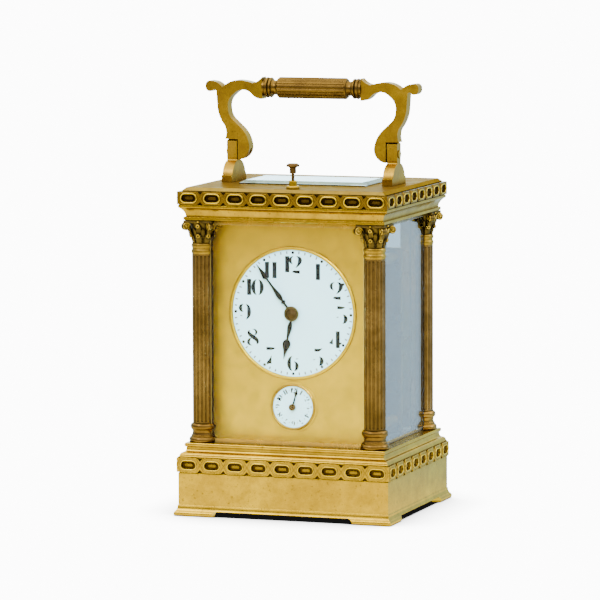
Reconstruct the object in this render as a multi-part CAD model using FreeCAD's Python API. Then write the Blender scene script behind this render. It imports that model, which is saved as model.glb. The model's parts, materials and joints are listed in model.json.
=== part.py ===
import FreeCAD, Part
import math
import os

# Carriage clock with four fluted corner columns, alarm subdial, top repeat button and bail handle.
# Millimetres. X to the right, Y to the back, Z up; the origin is under the middle of the feet.

Vec = FreeCAD.Vector
X_WAY = Vec(1, 0, 0)
Y_WAY = Vec(0, 1, 0)
Z_WAY = Vec(0, 0, 1)

# ---------------------------------------------------------------- driving dimensions
DEPTH_LESS = 5.4            # every half depth of the case is this much less than its half width
PLAY = 0.05                 # radial play of a turning shaft in its hole
FACE_GAP = 0.3              # gap between parts that move past each other

PLINTH_TOP = 18.5
FRIEZE_LOW = 18.9
FRIEZE_HIGH = 25.05
MOULDING_LOW = 25.5
PLATE_LOW = 29.6
PLATE_TOP = 31.2            # top face of the base plate, which the columns stand on
CORNICE_LOW = 126.5
CORNICE_BAND_LOW = 133.2
CORNICE_BAND_HIGH = 139.0
TOP_FACE = 140.6            # top face of the top plate

PLINTH_HALF = 47.1
FRIEZE_HALF = 47.65
CORNICE_HALF = 47.0
PLATE_HALF = 45.0
RING_WALL = 2.8             # wall of the hollow base mouldings
FOOT_LENGTH_X = 17.0
FOOT_LENGTH_Y = 15.0
FOOT_GAP = 2.4              # height of the low arch between two feet

UNITS_FRONT = 9             # frieze units on the front and the back
UNITS_SIDE = 8              # frieze units on each side
POCKET_LENGTH = 6.9
POCKET_HEIGHT = 3.7
POCKET_DEPTH = 1.15
POCKET_DRAFT = 0.55
NOTCH_WIDTH = 2.5
NOTCH_HEIGHT = 1.35
NOTCH_DEPTH = 1.0

COLUMN_X = 38.55
COLUMN_Y = 33.15
SHAFT_RADIUS = 4.6
SHAFT_LOW = 39.3
SHAFT_HIGH = 112.0
CAPITAL_LOW = 116.8
FLUTES = 16
FLUTE_RADIUS = 0.62
SCROLL_REACH = 7.95         # corner scrolls of a capital: from the column axis to the scroll's middle
SCROLL_RADIUS = 1.75
SCROLL_Z = 123.9
ROD_RADIUS = 1.25
ROD_HOLE = 1.4

TOP_GLASS_X = 28.5
TOP_GLASS_Y = 15.0
TOP_GLASS_LOW = 139.7
GLASS_THICK = 2.1
GLASS_BEVEL = 1.9
GLASS_OUT = 2.0             # how far the outer glass faces stand out from the column axes
GLASS_SLOT = 0.05           # play of the glass in the column slots
GLASS_EDGE = 2.55           # how far the glass edges stop short of the column axes

MASK_FRONT = -27.0
MASK_THICK = 1.0
MASK_HALF = 36.2
MASK_TOP = 126.3
DIAL_Z = 87.0
DIAL_RADIUS = 27.2
ALARM_Z = 46.9
ALARM_RADIUS = 9.9

HOUR_ANGLE = 191.5          # hands, in degrees clockwise from twelve
MINUTE_ANGLE = 322.6
ALARM_ANGLE = 14.4
HOUR_LENGTH = 20.0
MINUTE_LENGTH = 26.0
ALARM_LENGTH = 8.6
HAND_THICK = 0.35
HOUR_HAND_Y = -27.95
MINUTE_HAND_Y = -28.8
ALARM_HAND_Y = -27.9
BOSS_FRONT = -29.3

FRONT_PLATE_Y = -20.0
BACK_PLATE_Y = 15.0
MOVEMENT_PLATE = 1.8
MOVEMENT_HALF = 33.0
MOVEMENT_LOW = 33.2
MOVEMENT_HIGH = 112.0
PIVOT_RADIUS = 0.8
ARBOR_RADIUS = 1.2
SQUARE_SIDE = 2.6

BARREL_X = 16.4
BARREL_Z = 61.0
BARREL_RADIUS = 14.0
BARREL_TEETH = 60
BARREL_MODULE = 0.5
INTERMEDIATE_PINION = 10
INTERMEDIATE_TEETH = 48
CENTRE_PINION = 12
CENTRE_MODULE = 0.45
CENTRE_TEETH = 56
THIRD_PINION = 8
THIRD_TEETH = 48
CONTRATE_PINION = 8
TRAIN_MODULE = 0.4
CONTRATE_TEETH = 48
CONTRATE_RADIUS = 8.0
ESCAPE_PINION = 8
ESCAPE_TEETH = 15
CANNON_TEETH = 12
MINUTE_TEETH = 36
MINUTE_MODULE = 0.4
MINUTE_PINION = 10
HOUR_TEETH = 40
BARREL_PIVOT = 2.0
PILLARS = ((-29.5, 37.5), (29.5, 37.5), (-29.5, 108.0), (29.5, 108.0))
MASK_FEET = ((-31.0, 35.5), (31.0, 35.5), (-31.0, 110.0), (31.0, 110.0))
CONTRATE_FRONT = 2.6        # crown wheel: front face, back face and tooth tips along Y
CONTRATE_BACK = 4.0
CONTRATE_TIP = 5.6
ESCAPE_Y = 6.6

PLATFORM_LOW = 113.0
PLATFORM_THICK = 1.6
BALANCE_RADIUS = 7.6
BALANCE_Z = 119.4
BALANCE_REACH = 12.5        # from the escape arbor to the balance staff

STRIKE_REACH = 19.5         # from the centre arbor to the strike wheel
STRIKE_PINS = 8
GONG_Y = 22.2
GONG_Z = 68.0
GONG_RADIUS = 30.0
GONG_STEP = 2.4             # pitch of the gong's coil
GONG_HALF_TURNS = 5
GONG_WIRE = 1.2             # the gong's wire is this wide and GONG_DEEP deep
GONG_DEEP = 1.4
HAMMER_AXIS = (24.5, 42.5)
HAMMER_HEAD_X = 19.6
HAMMER_HEAD_LONG = 5.8
HAMMER_HEAD_RADIUS = 2.4

HANDLE_Z = 153.6            # pivot axis of the handle
HANDLE_HALF_THICK = 2.75
GRIP_Z = 181.2
GRIP_RADIUS = 4.58
GRIP_HALF = 15.0
GRIP_FLUTES = 16
BRACKET_IN = 34.0
BRACKET_OUT = 38.6
POST_HALF = 2.6             # half width of the bracket's post, fore and aft
POST_ROUND = 5.05           # radius of the post's top about the pivot
PIN_RADIUS = 1.2

BUTTON_X = 2.4
BUTTON_Y = -33.5
BUTTON_TRAVEL = 2.5

DOOR_HALF = 31.2
DOOR_LOW = 31.7
DOOR_HIGH = 126.0
DOOR_FRONT = 32.6
DOOR_THICK = 3.2
DOOR_RAIL = 4.2
HINGE_X = -29.8             # the door's hinge axis, near the left rear column
HINGE_Y = 34.2
HINGE_PIN_RADIUS = 0.8


# ---------------------------------------------------------------- general helpers
def box(low, high):
    """A block between two opposite corners."""
    size = Vec(*high) - Vec(*low)
    return Part.makeBox(size.x, size.y, size.z, Vec(*low))


def rod(radius, start, end):
    """A round bar between two points."""
    way = Vec(*end) - Vec(*start)
    return Part.makeCylinder(radius, way.Length, Vec(*start), way)


def fused(shapes):
    """The shapes joined into one solid, without seams between coplanar faces."""
    whole = shapes[0].fuse(shapes[1:]) if len(shapes) > 1 else shapes[0]
    return whole.removeSplitter()


def without(shape, tools):
    """The shape with every tool cut away."""
    return shape.cut(Part.makeCompound(tools))


def path_edges(path, place):
    """Edges along a path. A step is a point, or a pair (middle, end) for an arc."""
    edges = []
    here = place(path[0])
    for step in path[1:]:
        if isinstance(step[0], tuple):
            end = place(step[1])
            edges.append(Part.Arc(here, place(step[0]), end).toShape())
        else:
            end = place(step)
            edges.append(Part.makeLine(here, end))
        here = end
    start = place(path[0])
    if here.distanceToPoint(start) > 1e-6:
        edges.append(Part.makeLine(here, start))
    return edges


def outline_face(path, place):
    """A flat face inside a closed path."""
    return Part.Face(Part.Wire(path_edges(path, place)))


def in_xz(y):
    """Places outline points (x, z) on the upright plane at y."""
    return lambda point: Vec(point[0], y, point[1])


def in_yz(x):
    """Places outline points (y, z) on the upright plane at x."""
    return lambda point: Vec(x, point[0], point[1])


def turned(path, centre_x, centre_y):
    """A body turned about an upright axis. The path holds (radius, z) points from bottom to top."""
    closed = [(0, path[0][1])] + path + [(0, last_point(path)[1])]
    face = outline_face(closed, in_xz(0))
    body = face.revolve(Vec(0, 0, 0), Z_WAY, 360)
    body.translate(Vec(centre_x, centre_y, 0))
    return body


def last_point(path):
    """The end point of a path's last step."""
    step = path[-1]
    return step[1] if isinstance(step[0], tuple) else step


def shifted_path(path, change):
    """The path with its first coordinate changed by a fixed amount."""
    moved = []
    for step in path:
        if isinstance(step[0], tuple):
            moved.append(((step[0][0] + change, step[0][1]), (step[1][0] + change, step[1][1])))
        else:
            moved.append((step[0] + change, step[1]))
    return moved


def moulded_block(path):
    """A rectangular block whose four sides follow a moulding path (half width, z), mitred at the corners."""
    reach = 60
    prisms = []
    for place, way, change in ((in_xz(-reach), Y_WAY, 0), (in_yz(-reach), X_WAY, -DEPTH_LESS)):
        side = shifted_path(path, change)
        closed = [(0, path[0][1])] + side + [(0, last_point(path)[1])]
        half = outline_face(closed, place).extrude(way * 2 * reach)
        across = Vec(0, 0, 0)
        prisms.append(fused([half, half.mirror(across, X_WAY if way == Y_WAY else Y_WAY)]))
    return prisms[0].common(prisms[1])


def centred_box(half_x, half_y, low, high):
    """A block centred on the Z axis."""
    return box((-half_x, -half_y, low), (half_x, half_y, high))


def corners(shape_at):
    """The shape made at each of the four column axes, from a function of (sign x, sign y)."""
    return [shape_at(sx, sy) for sx in (-1, 1) for sy in (-1, 1)]


def stadium(centre, across, up, length, height):
    """A wire with straight long sides and round ends, in the plane of two unit directions."""
    radius = height / 2
    reach = length / 2 - radius

    def at(a, b):
        return centre + across * a + up * b

    return Part.Wire([
        Part.makeLine(at(-reach, -radius), at(reach, -radius)),
        Part.Arc(at(reach, -radius), at(reach + radius, 0), at(reach, radius)).toShape(),
        Part.makeLine(at(reach, radius), at(-reach, radius)),
        Part.Arc(at(-reach, radius), at(-reach - radius, 0), at(-reach, -radius)).toShape(),
    ])


# ---------------------------------------------------------------- gears
def polar(centre, radius, angle):
    """A point of the XZ plane at an angle from the X axis towards Z."""
    return (centre[0] + radius * math.cos(angle), centre[1] + radius * math.sin(angle))


def direction(start, end):
    """Angle of the way from one point of the XZ plane to another."""
    return math.atan2(end[1] - start[1], end[0] - start[0])


def toothed_disc(centre, teeth, module, first, low, high, pinion=False):
    """A spur wheel about a Y axis with one tooth centred at the angle `first`."""
    pitch_radius = teeth * module / 2
    pitch = 2 * math.pi / teeth
    root = pitch_radius - module * (1.45 if pinion else 1.2)
    tip = pitch_radius + module * (0.55 if pinion else 0.95)
    half_root = pitch * (0.17 if pinion else 0.22)
    half_pitch = pitch * (0.17 if pinion else 0.21)
    half_tip = pitch * (0.08 if pinion else 0.07)
    shape = [(root, -half_root), (pitch_radius, -half_pitch), (tip, -half_tip)]
    shape += [(tip, half_tip), (pitch_radius, half_pitch), (root, half_root)]
    outline = []
    for index in range(teeth):
        middle = first + index * pitch
        outline += [polar(centre, radius, middle + offset) for radius, offset in shape]
    return outline_face(outline, in_xz(low)).extrude(Y_WAY * (high - low))


def spoked(disc, centre, rim, hub, low, high, spokes=4):
    """The disc with windows that leave a rim, a hub and straight spokes."""
    windows = rod(rim, (centre[0], low, centre[1]), (centre[0], high, centre[1]))
    windows = windows.cut(rod(hub, (centre[0], low, centre[1]), (centre[0], high, centre[1])))
    bars = []
    for index in range(spokes):
        bar = Part.makeBox(2 * rim, high - low, 1.3, Vec(-rim, low, -0.65))
        bar.rotate(Vec(0, 0, 0), Y_WAY, 180 * index / spokes)
        bar.translate(Vec(centre[0], 0, centre[1]))
        bars.append(bar)
    return disc.cut(windows.cut(bars[0].fuse(bars[1:])))


def y_rod(centre, radius, low, high):
    """A round bar along Y through a point of the XZ plane."""
    return rod(radius, (centre[0], low, centre[1]), (centre[0], high, centre[1]))


def y_square(centre, side, low, high):
    """A square bar along Y, as a winding key fits."""
    half = side / 2
    return box((centre[0] - half, low, centre[1] - half), (centre[0] + half, high, centre[1] + half))


def meeting_point(first, first_reach, second, second_reach, side):
    """The point of the XZ plane at given distances from two others, on the chosen side."""
    gap = math.hypot(second[0] - first[0], second[1] - first[1])
    along = (first_reach ** 2 - second_reach ** 2 + gap ** 2) / (2 * gap)
    off = side * math.sqrt(max(first_reach ** 2 - along ** 2, 0))
    way = direction(first, second)
    foot = polar(first, along, way)
    return polar(foot, off, way + math.pi / 2)


CENTRE = (0.0, DIAL_Z)
ALARM_CENTRE = (0.0, ALARM_Z)
GOING_BARREL = (-BARREL_X, BARREL_Z)
STRIKE_BARREL = (BARREL_X, BARREL_Z)
INTERMEDIATE = meeting_point(
    GOING_BARREL, BARREL_MODULE * (BARREL_TEETH + INTERMEDIATE_PINION) / 2,
    CENTRE, CENTRE_MODULE * (INTERMEDIATE_TEETH + CENTRE_PINION) / 2, 1)
STRIKE_PIN = meeting_point(
    STRIKE_BARREL, BARREL_MODULE * (BARREL_TEETH + INTERMEDIATE_PINION) / 2,
    CENTRE, STRIKE_REACH, -1)
THIRD = polar(CENTRE, TRAIN_MODULE * (CENTRE_TEETH + THIRD_PINION) / 2, math.radians(148))
CONTRATE = polar(THIRD, TRAIN_MODULE * (THIRD_TEETH + CONTRATE_PINION) / 2, math.radians(34))
MINUTE_WORK = polar(CENTRE, MINUTE_MODULE * (CANNON_TEETH + MINUTE_TEETH) / 2, math.radians(-40))
HOUR_MODULE = MINUTE_MODULE * (CANNON_TEETH + MINUTE_TEETH) / (MINUTE_PINION + HOUR_TEETH)
BALANCE_AT = (CONTRATE[0] + BALANCE_REACH, ESCAPE_Y)
BACK_PIVOTS = (GOING_BARREL, STRIKE_BARREL, CENTRE, ALARM_CENTRE, INTERMEDIATE, STRIKE_PIN, THIRD, CONTRATE)


# ---------------------------------------------------------------- base
def frieze_band(low, high, half):
    """A hollow band with sunk oblong pockets and small triangular notches between its units."""
    band = centred_box(half, half - DEPTH_LESS, low, high)
    band = band.cut(centred_box(half - RING_WALL, half - DEPTH_LESS - RING_WALL, low, high))
    middle = (low + high) / 2
    tools = []
    sides = (
        (Vec(0, -1, 0), X_WAY, half - DEPTH_LESS, half, UNITS_FRONT),
        (Vec(0, 1, 0), X_WAY, half - DEPTH_LESS, half, UNITS_FRONT),
        (Vec(-1, 0, 0), Y_WAY, half, half - DEPTH_LESS, UNITS_SIDE),
        (Vec(1, 0, 0), Y_WAY, half, half - DEPTH_LESS, UNITS_SIDE),
    )
    for out, across, face_at, reach, units in sides:
        unit = 2 * reach / units
        for index in range(units):
            centre = out * face_at + across * (-reach + unit * (index + 0.5)) + Z_WAY * middle
            tools.append(pocket(centre, out, across))
            if index:
                edge = out * face_at + across * (-reach + unit * index)
                tools += notches(edge, out, across, low, high)
    return without(band, tools)


def pocket(centre, out, across):
    """The tool for one oblong pocket with sloping walls and a raised bar on its floor."""
    mouth = stadium(centre + out * 0.01, across, Z_WAY, POCKET_LENGTH, POCKET_HEIGHT)
    floor = stadium(
        centre - out * POCKET_DEPTH, across, Z_WAY,
        POCKET_LENGTH - 2 * POCKET_DRAFT, POCKET_HEIGHT - 2 * POCKET_DRAFT)
    hollow = Part.makeLoft([mouth, floor], True, True)
    bar_low = Part.Face(stadium(centre - out * (POCKET_DEPTH + 0.1), across, Z_WAY, 3.6, 1.2))
    return hollow.cut(bar_low.extrude(out * 0.6))


def notches(edge, out, across, low, high):
    """The tools for the triangular notches above and below the joint of two units."""
    tools = []
    for at, up in ((low, 1), (high, -1)):
        base = edge + Z_WAY * at + out * 0.01
        tip = base + Z_WAY * up * NOTCH_HEIGHT
        left = base - across * NOTCH_WIDTH / 2
        right = base + across * NOTCH_WIDTH / 2
        face = Part.Face(Part.makePolygon([left, right, tip, left]))
        tools.append(face.extrude(out * -NOTCH_DEPTH))
    return tools


def make_base_plinth():
    """The deep plinth with its foot moulding, open inside, with a low arch between the feet."""
    path = [
        (48.35, 0), ((48.75, 1.0), (48.25, 2.1)), (47.95, 2.4), ((47.55, 3.2), (47.4, 4.5)),
        (PLINTH_HALF, 4.8), (PLINTH_HALF, PLINTH_TOP),
    ]
    inner = PLINTH_HALF - RING_WALL
    ring = moulded_block(path).cut(centred_box(inner, inner - DEPTH_LESS, 0, PLINTH_TOP))
    lugs = []
    for shape in corners(lambda sx, sy: centred_box(4.2, 4.2, 5.6, 12.0).translated(
            Vec(sx * (inner - 4.0), sy * (inner - DEPTH_LESS - 4.0), 0))):
        lugs.append(shape)
    holes = corners(lambda sx, sy: rod(1.0, lug_point(sx, sy, 5.6), lug_point(sx, sy, 11.0)))
    arches = [
        foot_arch(48.6 - FOOT_LENGTH_X, in_xz(-60), Y_WAY),
        foot_arch(43.2 - FOOT_LENGTH_Y, in_yz(-60), X_WAY),
    ]
    return without(fused([ring] + lugs), holes + arches)


def lug_point(sx, sy, z):
    """A point on the axis of a bottom cover screw."""
    inner = PLINTH_HALF - RING_WALL
    return (sx * (inner - 4.6), sy * (inner - DEPTH_LESS - 4.6), z)


def foot_arch(reach, place, way):
    """The tool that cuts the low arch between two feet, with rounded upper corners."""
    round_off = FOOT_GAP * 0.95
    curve = (reach - round_off * 0.3, FOOT_GAP - round_off * 0.3)
    left_curve = (-curve[0], curve[1])
    path = [
        (reach, -1), (reach, FOOT_GAP - round_off),
        (curve, (reach - round_off, FOOT_GAP)),
        (-reach + round_off, FOOT_GAP),
        (left_curve, (-reach, FOOT_GAP - round_off)),
        (-reach, -1),
    ]
    return outline_face(path, place).extrude(way * 120)


def make_base_frieze():
    """The frieze band of the base with a thin fillet below and above it."""
    band = frieze_band(FRIEZE_LOW, FRIEZE_HIGH, FRIEZE_HALF)
    inner = FRIEZE_HALF - RING_WALL
    fillets = []
    for low, high, half in ((PLINTH_TOP, FRIEZE_LOW, 46.8), (FRIEZE_HIGH, MOULDING_LOW, 47.1)):
        ring = centred_box(half, half - DEPTH_LESS, low, high)
        fillets.append(ring.cut(centred_box(inner, inner - DEPTH_LESS, low, high)))
    return fused([band] + fillets)


def make_base_moulding():
    """The reversed-curve moulding between the frieze and the base plate."""
    path = [
        (46.9, MOULDING_LOW), (46.7, 25.9), ((46.2, 26.9), (45.4, 27.3)),
        ((44.75, 27.7), (44.35, 28.6)), (44.3, PLATE_LOW),
    ]
    block = moulded_block(path)
    return block.cut(centred_box(41.5, 36.1, MOULDING_LOW, PLATE_LOW))


def rod_axis(sx, sy, z):
    """A point on a column axis."""
    return (sx * COLUMN_X, sy * COLUMN_Y, z)


def make_base_plate():
    """The plate that carries the columns, the glasses and the movement."""
    path = [(PLATE_HALF - 0.3, PLATE_LOW), ((PLATE_HALF, 30.5), (PLATE_HALF - 0.25, PLATE_TOP))]
    holes = corners(lambda sx, sy: rod(ROD_HOLE, rod_axis(sx, sy, 29), rod_axis(sx, sy, 32)))
    holes.append(rod(HINGE_PIN_RADIUS + PLAY, (HINGE_X, HINGE_Y, 30.2), (HINGE_X, HINGE_Y, 32)))
    return without(moulded_block(path), holes)


def make_bottom_cover():
    """The sheet that closes the plinth from below."""
    inner = PLINTH_HALF - RING_WALL - 0.1
    sheet = centred_box(inner, inner - DEPTH_LESS, 4.6, 5.6)
    return without(sheet, corners(lambda sx, sy: rod(1.2, lug_point(sx, sy, 4), lug_point(sx, sy, 6))))


def make_bottom_screws():
    """Four cheese-head screws that hold the bottom cover to the plinth lugs."""
    def screw(sx, sy):
        head = rod(2.0, lug_point(sx, sy, 3.4), lug_point(sx, sy, 4.6))
        shank = rod(1.0, lug_point(sx, sy, 4.6), lug_point(sx, sy, 10.5))
        at = lug_point(sx, sy, 3.4)
        slot = box((at[0] - 2.2, at[1] - 0.25, 3.3), (at[0] + 2.2, at[1] + 0.25, 3.9))
        return head.fuse(shank).cut(slot)
    return Part.makeCompound(corners(screw))


# ---------------------------------------------------------------- columns
def glass_slots():
    """The space of the glass edges, the rear jambs and the dial mask, cut from every column part."""
    play = GLASS_SLOT
    front = -(COLUMN_Y + GLASS_OUT)
    side = COLUMN_X + GLASS_OUT
    reach_x = COLUMN_X - GLASS_EDGE + play
    reach_y = COLUMN_Y - GLASS_EDGE + play
    low = PLATE_TOP - 1
    high = CORNICE_LOW + 1
    tools = [box((-reach_x, front - play, low), (reach_x, front + GLASS_THICK + play, high))]
    for sign in (-1, 1):
        faces = sorted((sign * (side + play), sign * (side - GLASS_THICK - play)))
        tools.append(box((faces[0], -reach_y, low), (faces[1], reach_y, high)))
    tools.append(box((-reach_x, -front - GLASS_THICK - play, low), (reach_x, -front + play, high)))
    mask_back = MASK_FRONT + MASK_THICK + play
    tools.append(box((-MASK_HALF - play, MASK_FRONT - play, low), (MASK_HALF + play, mask_back, high)))
    return tools


def make_column_shaft(sx, sy):
    """A fluted shaft with two thin rings under its capital."""
    ring = 4.8
    path = [
        (SHAFT_RADIUS, SHAFT_LOW), (SHAFT_RADIUS, SHAFT_HIGH),
        (ring - 0.25, SHAFT_HIGH), ((ring, 113.0), (ring - 0.25, 114.0)),
        (SHAFT_RADIUS - 0.1, 114.1), (SHAFT_RADIUS - 0.1, 114.6),
        (ring - 0.25, 114.7), ((ring, 115.6), (ring - 0.25, 116.5)), (4.2, CAPITAL_LOW),
    ]
    shaft = turned(path, 0, 0)
    cutters = []
    for index in range(FLUTES):
        angle = 2 * math.pi * (index + 0.5) / FLUTES
        out = SHAFT_RADIUS + FLUTE_RADIUS / 2
        at = (out * math.cos(angle), out * math.sin(angle))
        cutters.append(rod(FLUTE_RADIUS, (*at, SHAFT_LOW + 0.8), (*at, SHAFT_HIGH - 0.7)))
    cutters.append(rod(ROD_HOLE, (0, 0, SHAFT_LOW - 1), (0, 0, CAPITAL_LOW + 1)))
    shaft = without(shaft, cutters)
    shaft.translate(Vec(sx * COLUMN_X, sy * COLUMN_Y, 0))
    return without(shaft, glass_slots())


def make_column_base(sx, sy):
    """A turned base: a wide lower ring, a hollow throat and a smaller upper ring."""
    path = [
        (5.75, PLATE_TOP), ((6.2, 32.3), (5.6, 33.5)), (5.3, 33.6), (5.3, 34.3),
        (4.95, 34.5), ((4.75, 35.6), (4.95, 36.6)), (5.2, 36.8),
        ((5.65, 37.9), (5.3, 39.0)), (4.9, SHAFT_LOW),
    ]
    base = turned(path, sx * COLUMN_X, sy * COLUMN_Y)
    hole = rod(ROD_HOLE, rod_axis(sx, sy, 31), rod_axis(sx, sy, SHAFT_LOW + 1))
    return without(base, [hole] + glass_slots())


def make_column_capital(sx, sy):
    """A bell with two rows of leaf tips, a corner scroll on each diagonal and a square abacus."""
    path = [
        (4.15, CAPITAL_LOW), (4.3, 118.0), ((4.6, 121.5), (5.5, 124.6)), (5.5, 125.3),
    ]
    parts = [turned(path, 0, 0)]
    half = 6.75
    dip = 5.6
    cut = 6.2
    abacus = [
        (half, -cut), ((dip, 0), (half, cut)), (cut, half), ((0, dip), (-cut, half)),
        (-half, cut), ((-dip, 0), (-half, -cut)), (-cut, -half), ((0, -dip), (cut, -half)),
    ]
    plate = outline_face(abacus, lambda point: Vec(point[0], point[1], 125.3))
    parts.append(plate.extrude(Z_WAY * (CORNICE_LOW - 125.3)))
    for index in range(4):
        angle = math.radians(45 + 90 * index)
        way = Vec(math.cos(angle), math.sin(angle), 0)
        across = Vec(-math.sin(angle), math.cos(angle), 0)
        centre = way * SCROLL_REACH + Z_WAY * SCROLL_Z
        parts.append(Part.makeCylinder(SCROLL_RADIUS, 2.3, centre - across * 1.15, across))
        parts.append(Part.makeCylinder(0.8, 3.0, centre - across * 1.5, across))
        stalk_foot = Z_WAY * (SCROLL_Z - 3.9) + way * 3.6
        parts.append(Part.makeCylinder(1.2, 4.6, stalk_foot, centre - stalk_foot))
    for height, reach, count in ((119.9, 5.2, 8), (124.0, 5.5, 4)):
        for index in range(count):
            angle = 2 * math.pi * index / count
            tip = Vec(reach * math.cos(angle), reach * math.sin(angle), height)
            parts.append(Part.makeSphere(0.85, tip))
    capital = fused(parts)
    capital.translate(Vec(sx * COLUMN_X, sy * COLUMN_Y, 0))
    hole = rod(ROD_HOLE, rod_axis(sx, sy, 116), rod_axis(sx, sy, 127))
    clear = DOOR_THICK / 2 - HINGE_X + 0.5
    open_door = box((-clear, HINGE_Y, CAPITAL_LOW), (clear, HINGE_Y + 15, CORNICE_LOW))
    return without(capital, [hole, open_door] + glass_slots())


def make_column_rods():
    """Four long screws from under the base plate, up through the columns, into the cornice."""
    def long_screw(sx, sy):
        head = rod(2.6, rod_axis(sx, sy, 27.6), rod_axis(sx, sy, PLATE_LOW))
        return head.fuse(rod(ROD_RADIUS, rod_axis(sx, sy, PLATE_LOW), rod_axis(sx, sy, 131.0)))
    return Part.makeCompound(corners(long_screw))


# ---------------------------------------------------------------- cornice and top
def make_cornice_moulding():
    """The frame on the capitals: a plain fillet, a hollow curve and an upper fillet."""
    path = [
        (44.15, CORNICE_LOW), (44.9, 126.9), (44.9, 128.0), (44.05, 128.3),
        ((44.75, 130.4), (46.5, 132.1)), (46.65, 132.3), (46.65, CORNICE_BAND_LOW),
    ]
    frame = moulded_block(path).cut(centred_box(35.2, 30.0, CORNICE_LOW, CORNICE_BAND_LOW))
    holes = corners(lambda sx, sy: rod(ROD_RADIUS, rod_axis(sx, sy, 126), rod_axis(sx, sy, 131.0)))
    holes.append(rod(HINGE_PIN_RADIUS + PLAY, (HINGE_X, HINGE_Y, 126), (HINGE_X, HINGE_Y, 127.6)))
    return without(frame, holes)


def make_cornice_frieze():
    """The frieze band of the cornice, on a thin fillet."""
    inner = CORNICE_HALF - RING_WALL
    low = CORNICE_BAND_LOW + 0.3
    band = frieze_band(low, CORNICE_BAND_HIGH, CORNICE_HALF)
    fillet = centred_box(46.3, 46.3 - DEPTH_LESS, CORNICE_BAND_LOW, low)
    return fused([band, fillet.cut(centred_box(inner, inner - DEPTH_LESS, CORNICE_BAND_LOW, low))])


def make_top_plate():
    """The top plate with a sloping edge and a rebated opening for its glass."""
    path = [
        (45.1, CORNICE_BAND_HIGH), (45.36, 139.3), (44.2, 140.3), (43.9, TOP_FACE),
    ]
    tools = [
        centred_box(TOP_GLASS_X - 1.4, TOP_GLASS_Y - 1.4, CORNICE_BAND_HIGH, TOP_FACE),
        centred_box(TOP_GLASS_X + 0.05, TOP_GLASS_Y + 0.05, TOP_GLASS_LOW, TOP_FACE),
        rod(1.1, (BUTTON_X, BUTTON_Y, 138), (BUTTON_X, BUTTON_Y, 142)),
    ]
    return without(moulded_block(path), tools)


def rectangle(half_x, half_y, z):
    """A closed rectangular wire centred on the Z axis."""
    points = [
        Vec(-half_x, -half_y, z), Vec(half_x, -half_y, z),
        Vec(half_x, half_y, z), Vec(-half_x, half_y, z), Vec(-half_x, -half_y, z),
    ]
    return Part.makePolygon(points)


def make_top_glass():
    """A thick glass with a sloping bevel that stands proud of the top plate."""
    slab = centred_box(TOP_GLASS_X, TOP_GLASS_Y, TOP_GLASS_LOW, 141.1)
    bevel = Part.makeLoft(
        [rectangle(TOP_GLASS_X, TOP_GLASS_Y, 141.1), rectangle(TOP_GLASS_X - 2.2, TOP_GLASS_Y - 2.2, 142.2)],
        True, True)
    return fused([slab, bevel])


def bevelled_pane(half, low, high, place, out):
    """An upright pane with a bevel round its outer face. place maps (across, z, depth) to a point."""
    def frame_wire(inset, depth):
        corner_points = [
            (-half + inset, low + inset), (half - inset, low + inset),
            (half - inset, high - inset), (-half + inset, high - inset),
        ]
        points = [place(a, z, depth) for a, z in corner_points]
        return Part.makePolygon(points + [points[0]])

    edge_depth = 0.9
    back = Part.Face(frame_wire(0, GLASS_THICK)).extrude(out * (GLASS_THICK - edge_depth))
    front = Part.makeLoft([frame_wire(0, edge_depth), frame_wire(GLASS_BEVEL, 0)], True, True)
    return fused([back, front])


def make_front_glass():
    """The bevelled front glass, held in the slots of the front columns."""
    face = -(COLUMN_Y + GLASS_OUT)
    return bevelled_pane(
        COLUMN_X - GLASS_EDGE, PLATE_TOP, CORNICE_LOW,
        lambda a, z, depth: Vec(a, face + depth, z), Vec(0, -1, 0))


def make_side_glass(sign):
    """A bevelled side glass, held in the slots of two columns."""
    face = COLUMN_X + GLASS_OUT
    return bevelled_pane(
        COLUMN_Y - GLASS_EDGE, PLATE_TOP, CORNICE_LOW,
        lambda a, z, depth: Vec(sign * (face - depth), a, z), Vec(sign, 0, 0))


def make_rear_jambs():
    """Two upright strips between the rear columns and the door."""
    back = COLUMN_Y + GLASS_OUT
    strips = []
    for sign in (-1, 1):
        ends = sorted((sign * (DOOR_HALF + 0.4), sign * (COLUMN_X - GLASS_EDGE)))
        strips.append(box((ends[0], back - GLASS_THICK, PLATE_TOP), (ends[1], back, CORNICE_LOW)))
    return Part.makeCompound(strips)


# ---------------------------------------------------------------- handle
def handle_arm_path():
    """Outline (x, z) of the right scroll arm: lobe, shoulder, outer sweep, ear, arch and flare."""
    return [
        (33.5, 149.9), (33.5, 158.8), (39.3, 158.8),
        ((38.75, 161.6), (39.6, 164.8)), ((41.9, 168.9), (42.85, 173.5)), (43.25, 179.2),
        ((43.7, 180.0), (44.5, 180.1)), ((47.2, 179.5), (48.15, 181.6)),
        ((47.4, 183.5), (45.6, 183.8)), ((43.0, 183.2), (40.5, 181.1)),
        ((37.0, 183.5), (33.1, 184.3)), ((29.8, 183.9), (26.7, 183.1)),
        ((24.3, 184.0), (22.3, 185.75)), (22.3, 176.3),
        ((24.6, 176.6), (27.2, 178.5)), ((31.3, 180.1), (35.4, 178.2)),
        ((37.6, 175.4), (37.95, 172.0)), ((37.3, 169.2), (35.7, 167.1)), (32.9, 164.5),
        ((29.9, 161.0), (28.4, 157.0)), ((29.5, 152.0), (33.5, 149.9)),
    ]


def make_handle_arm(sign):
    """A flat scroll arm with a hole for its pivot pin."""
    face = outline_face(handle_arm_path(), in_xz(-HANDLE_HALF_THICK))
    arm = face.extrude(Y_WAY * 2 * HANDLE_HALF_THICK)
    arm = arm.cut(rod(PIN_RADIUS + PLAY, (20, 0, HANDLE_Z), (34, 0, HANDLE_Z)))
    return arm if sign > 0 else arm.mirror(Vec(0, 0, 0), X_WAY)


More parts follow.
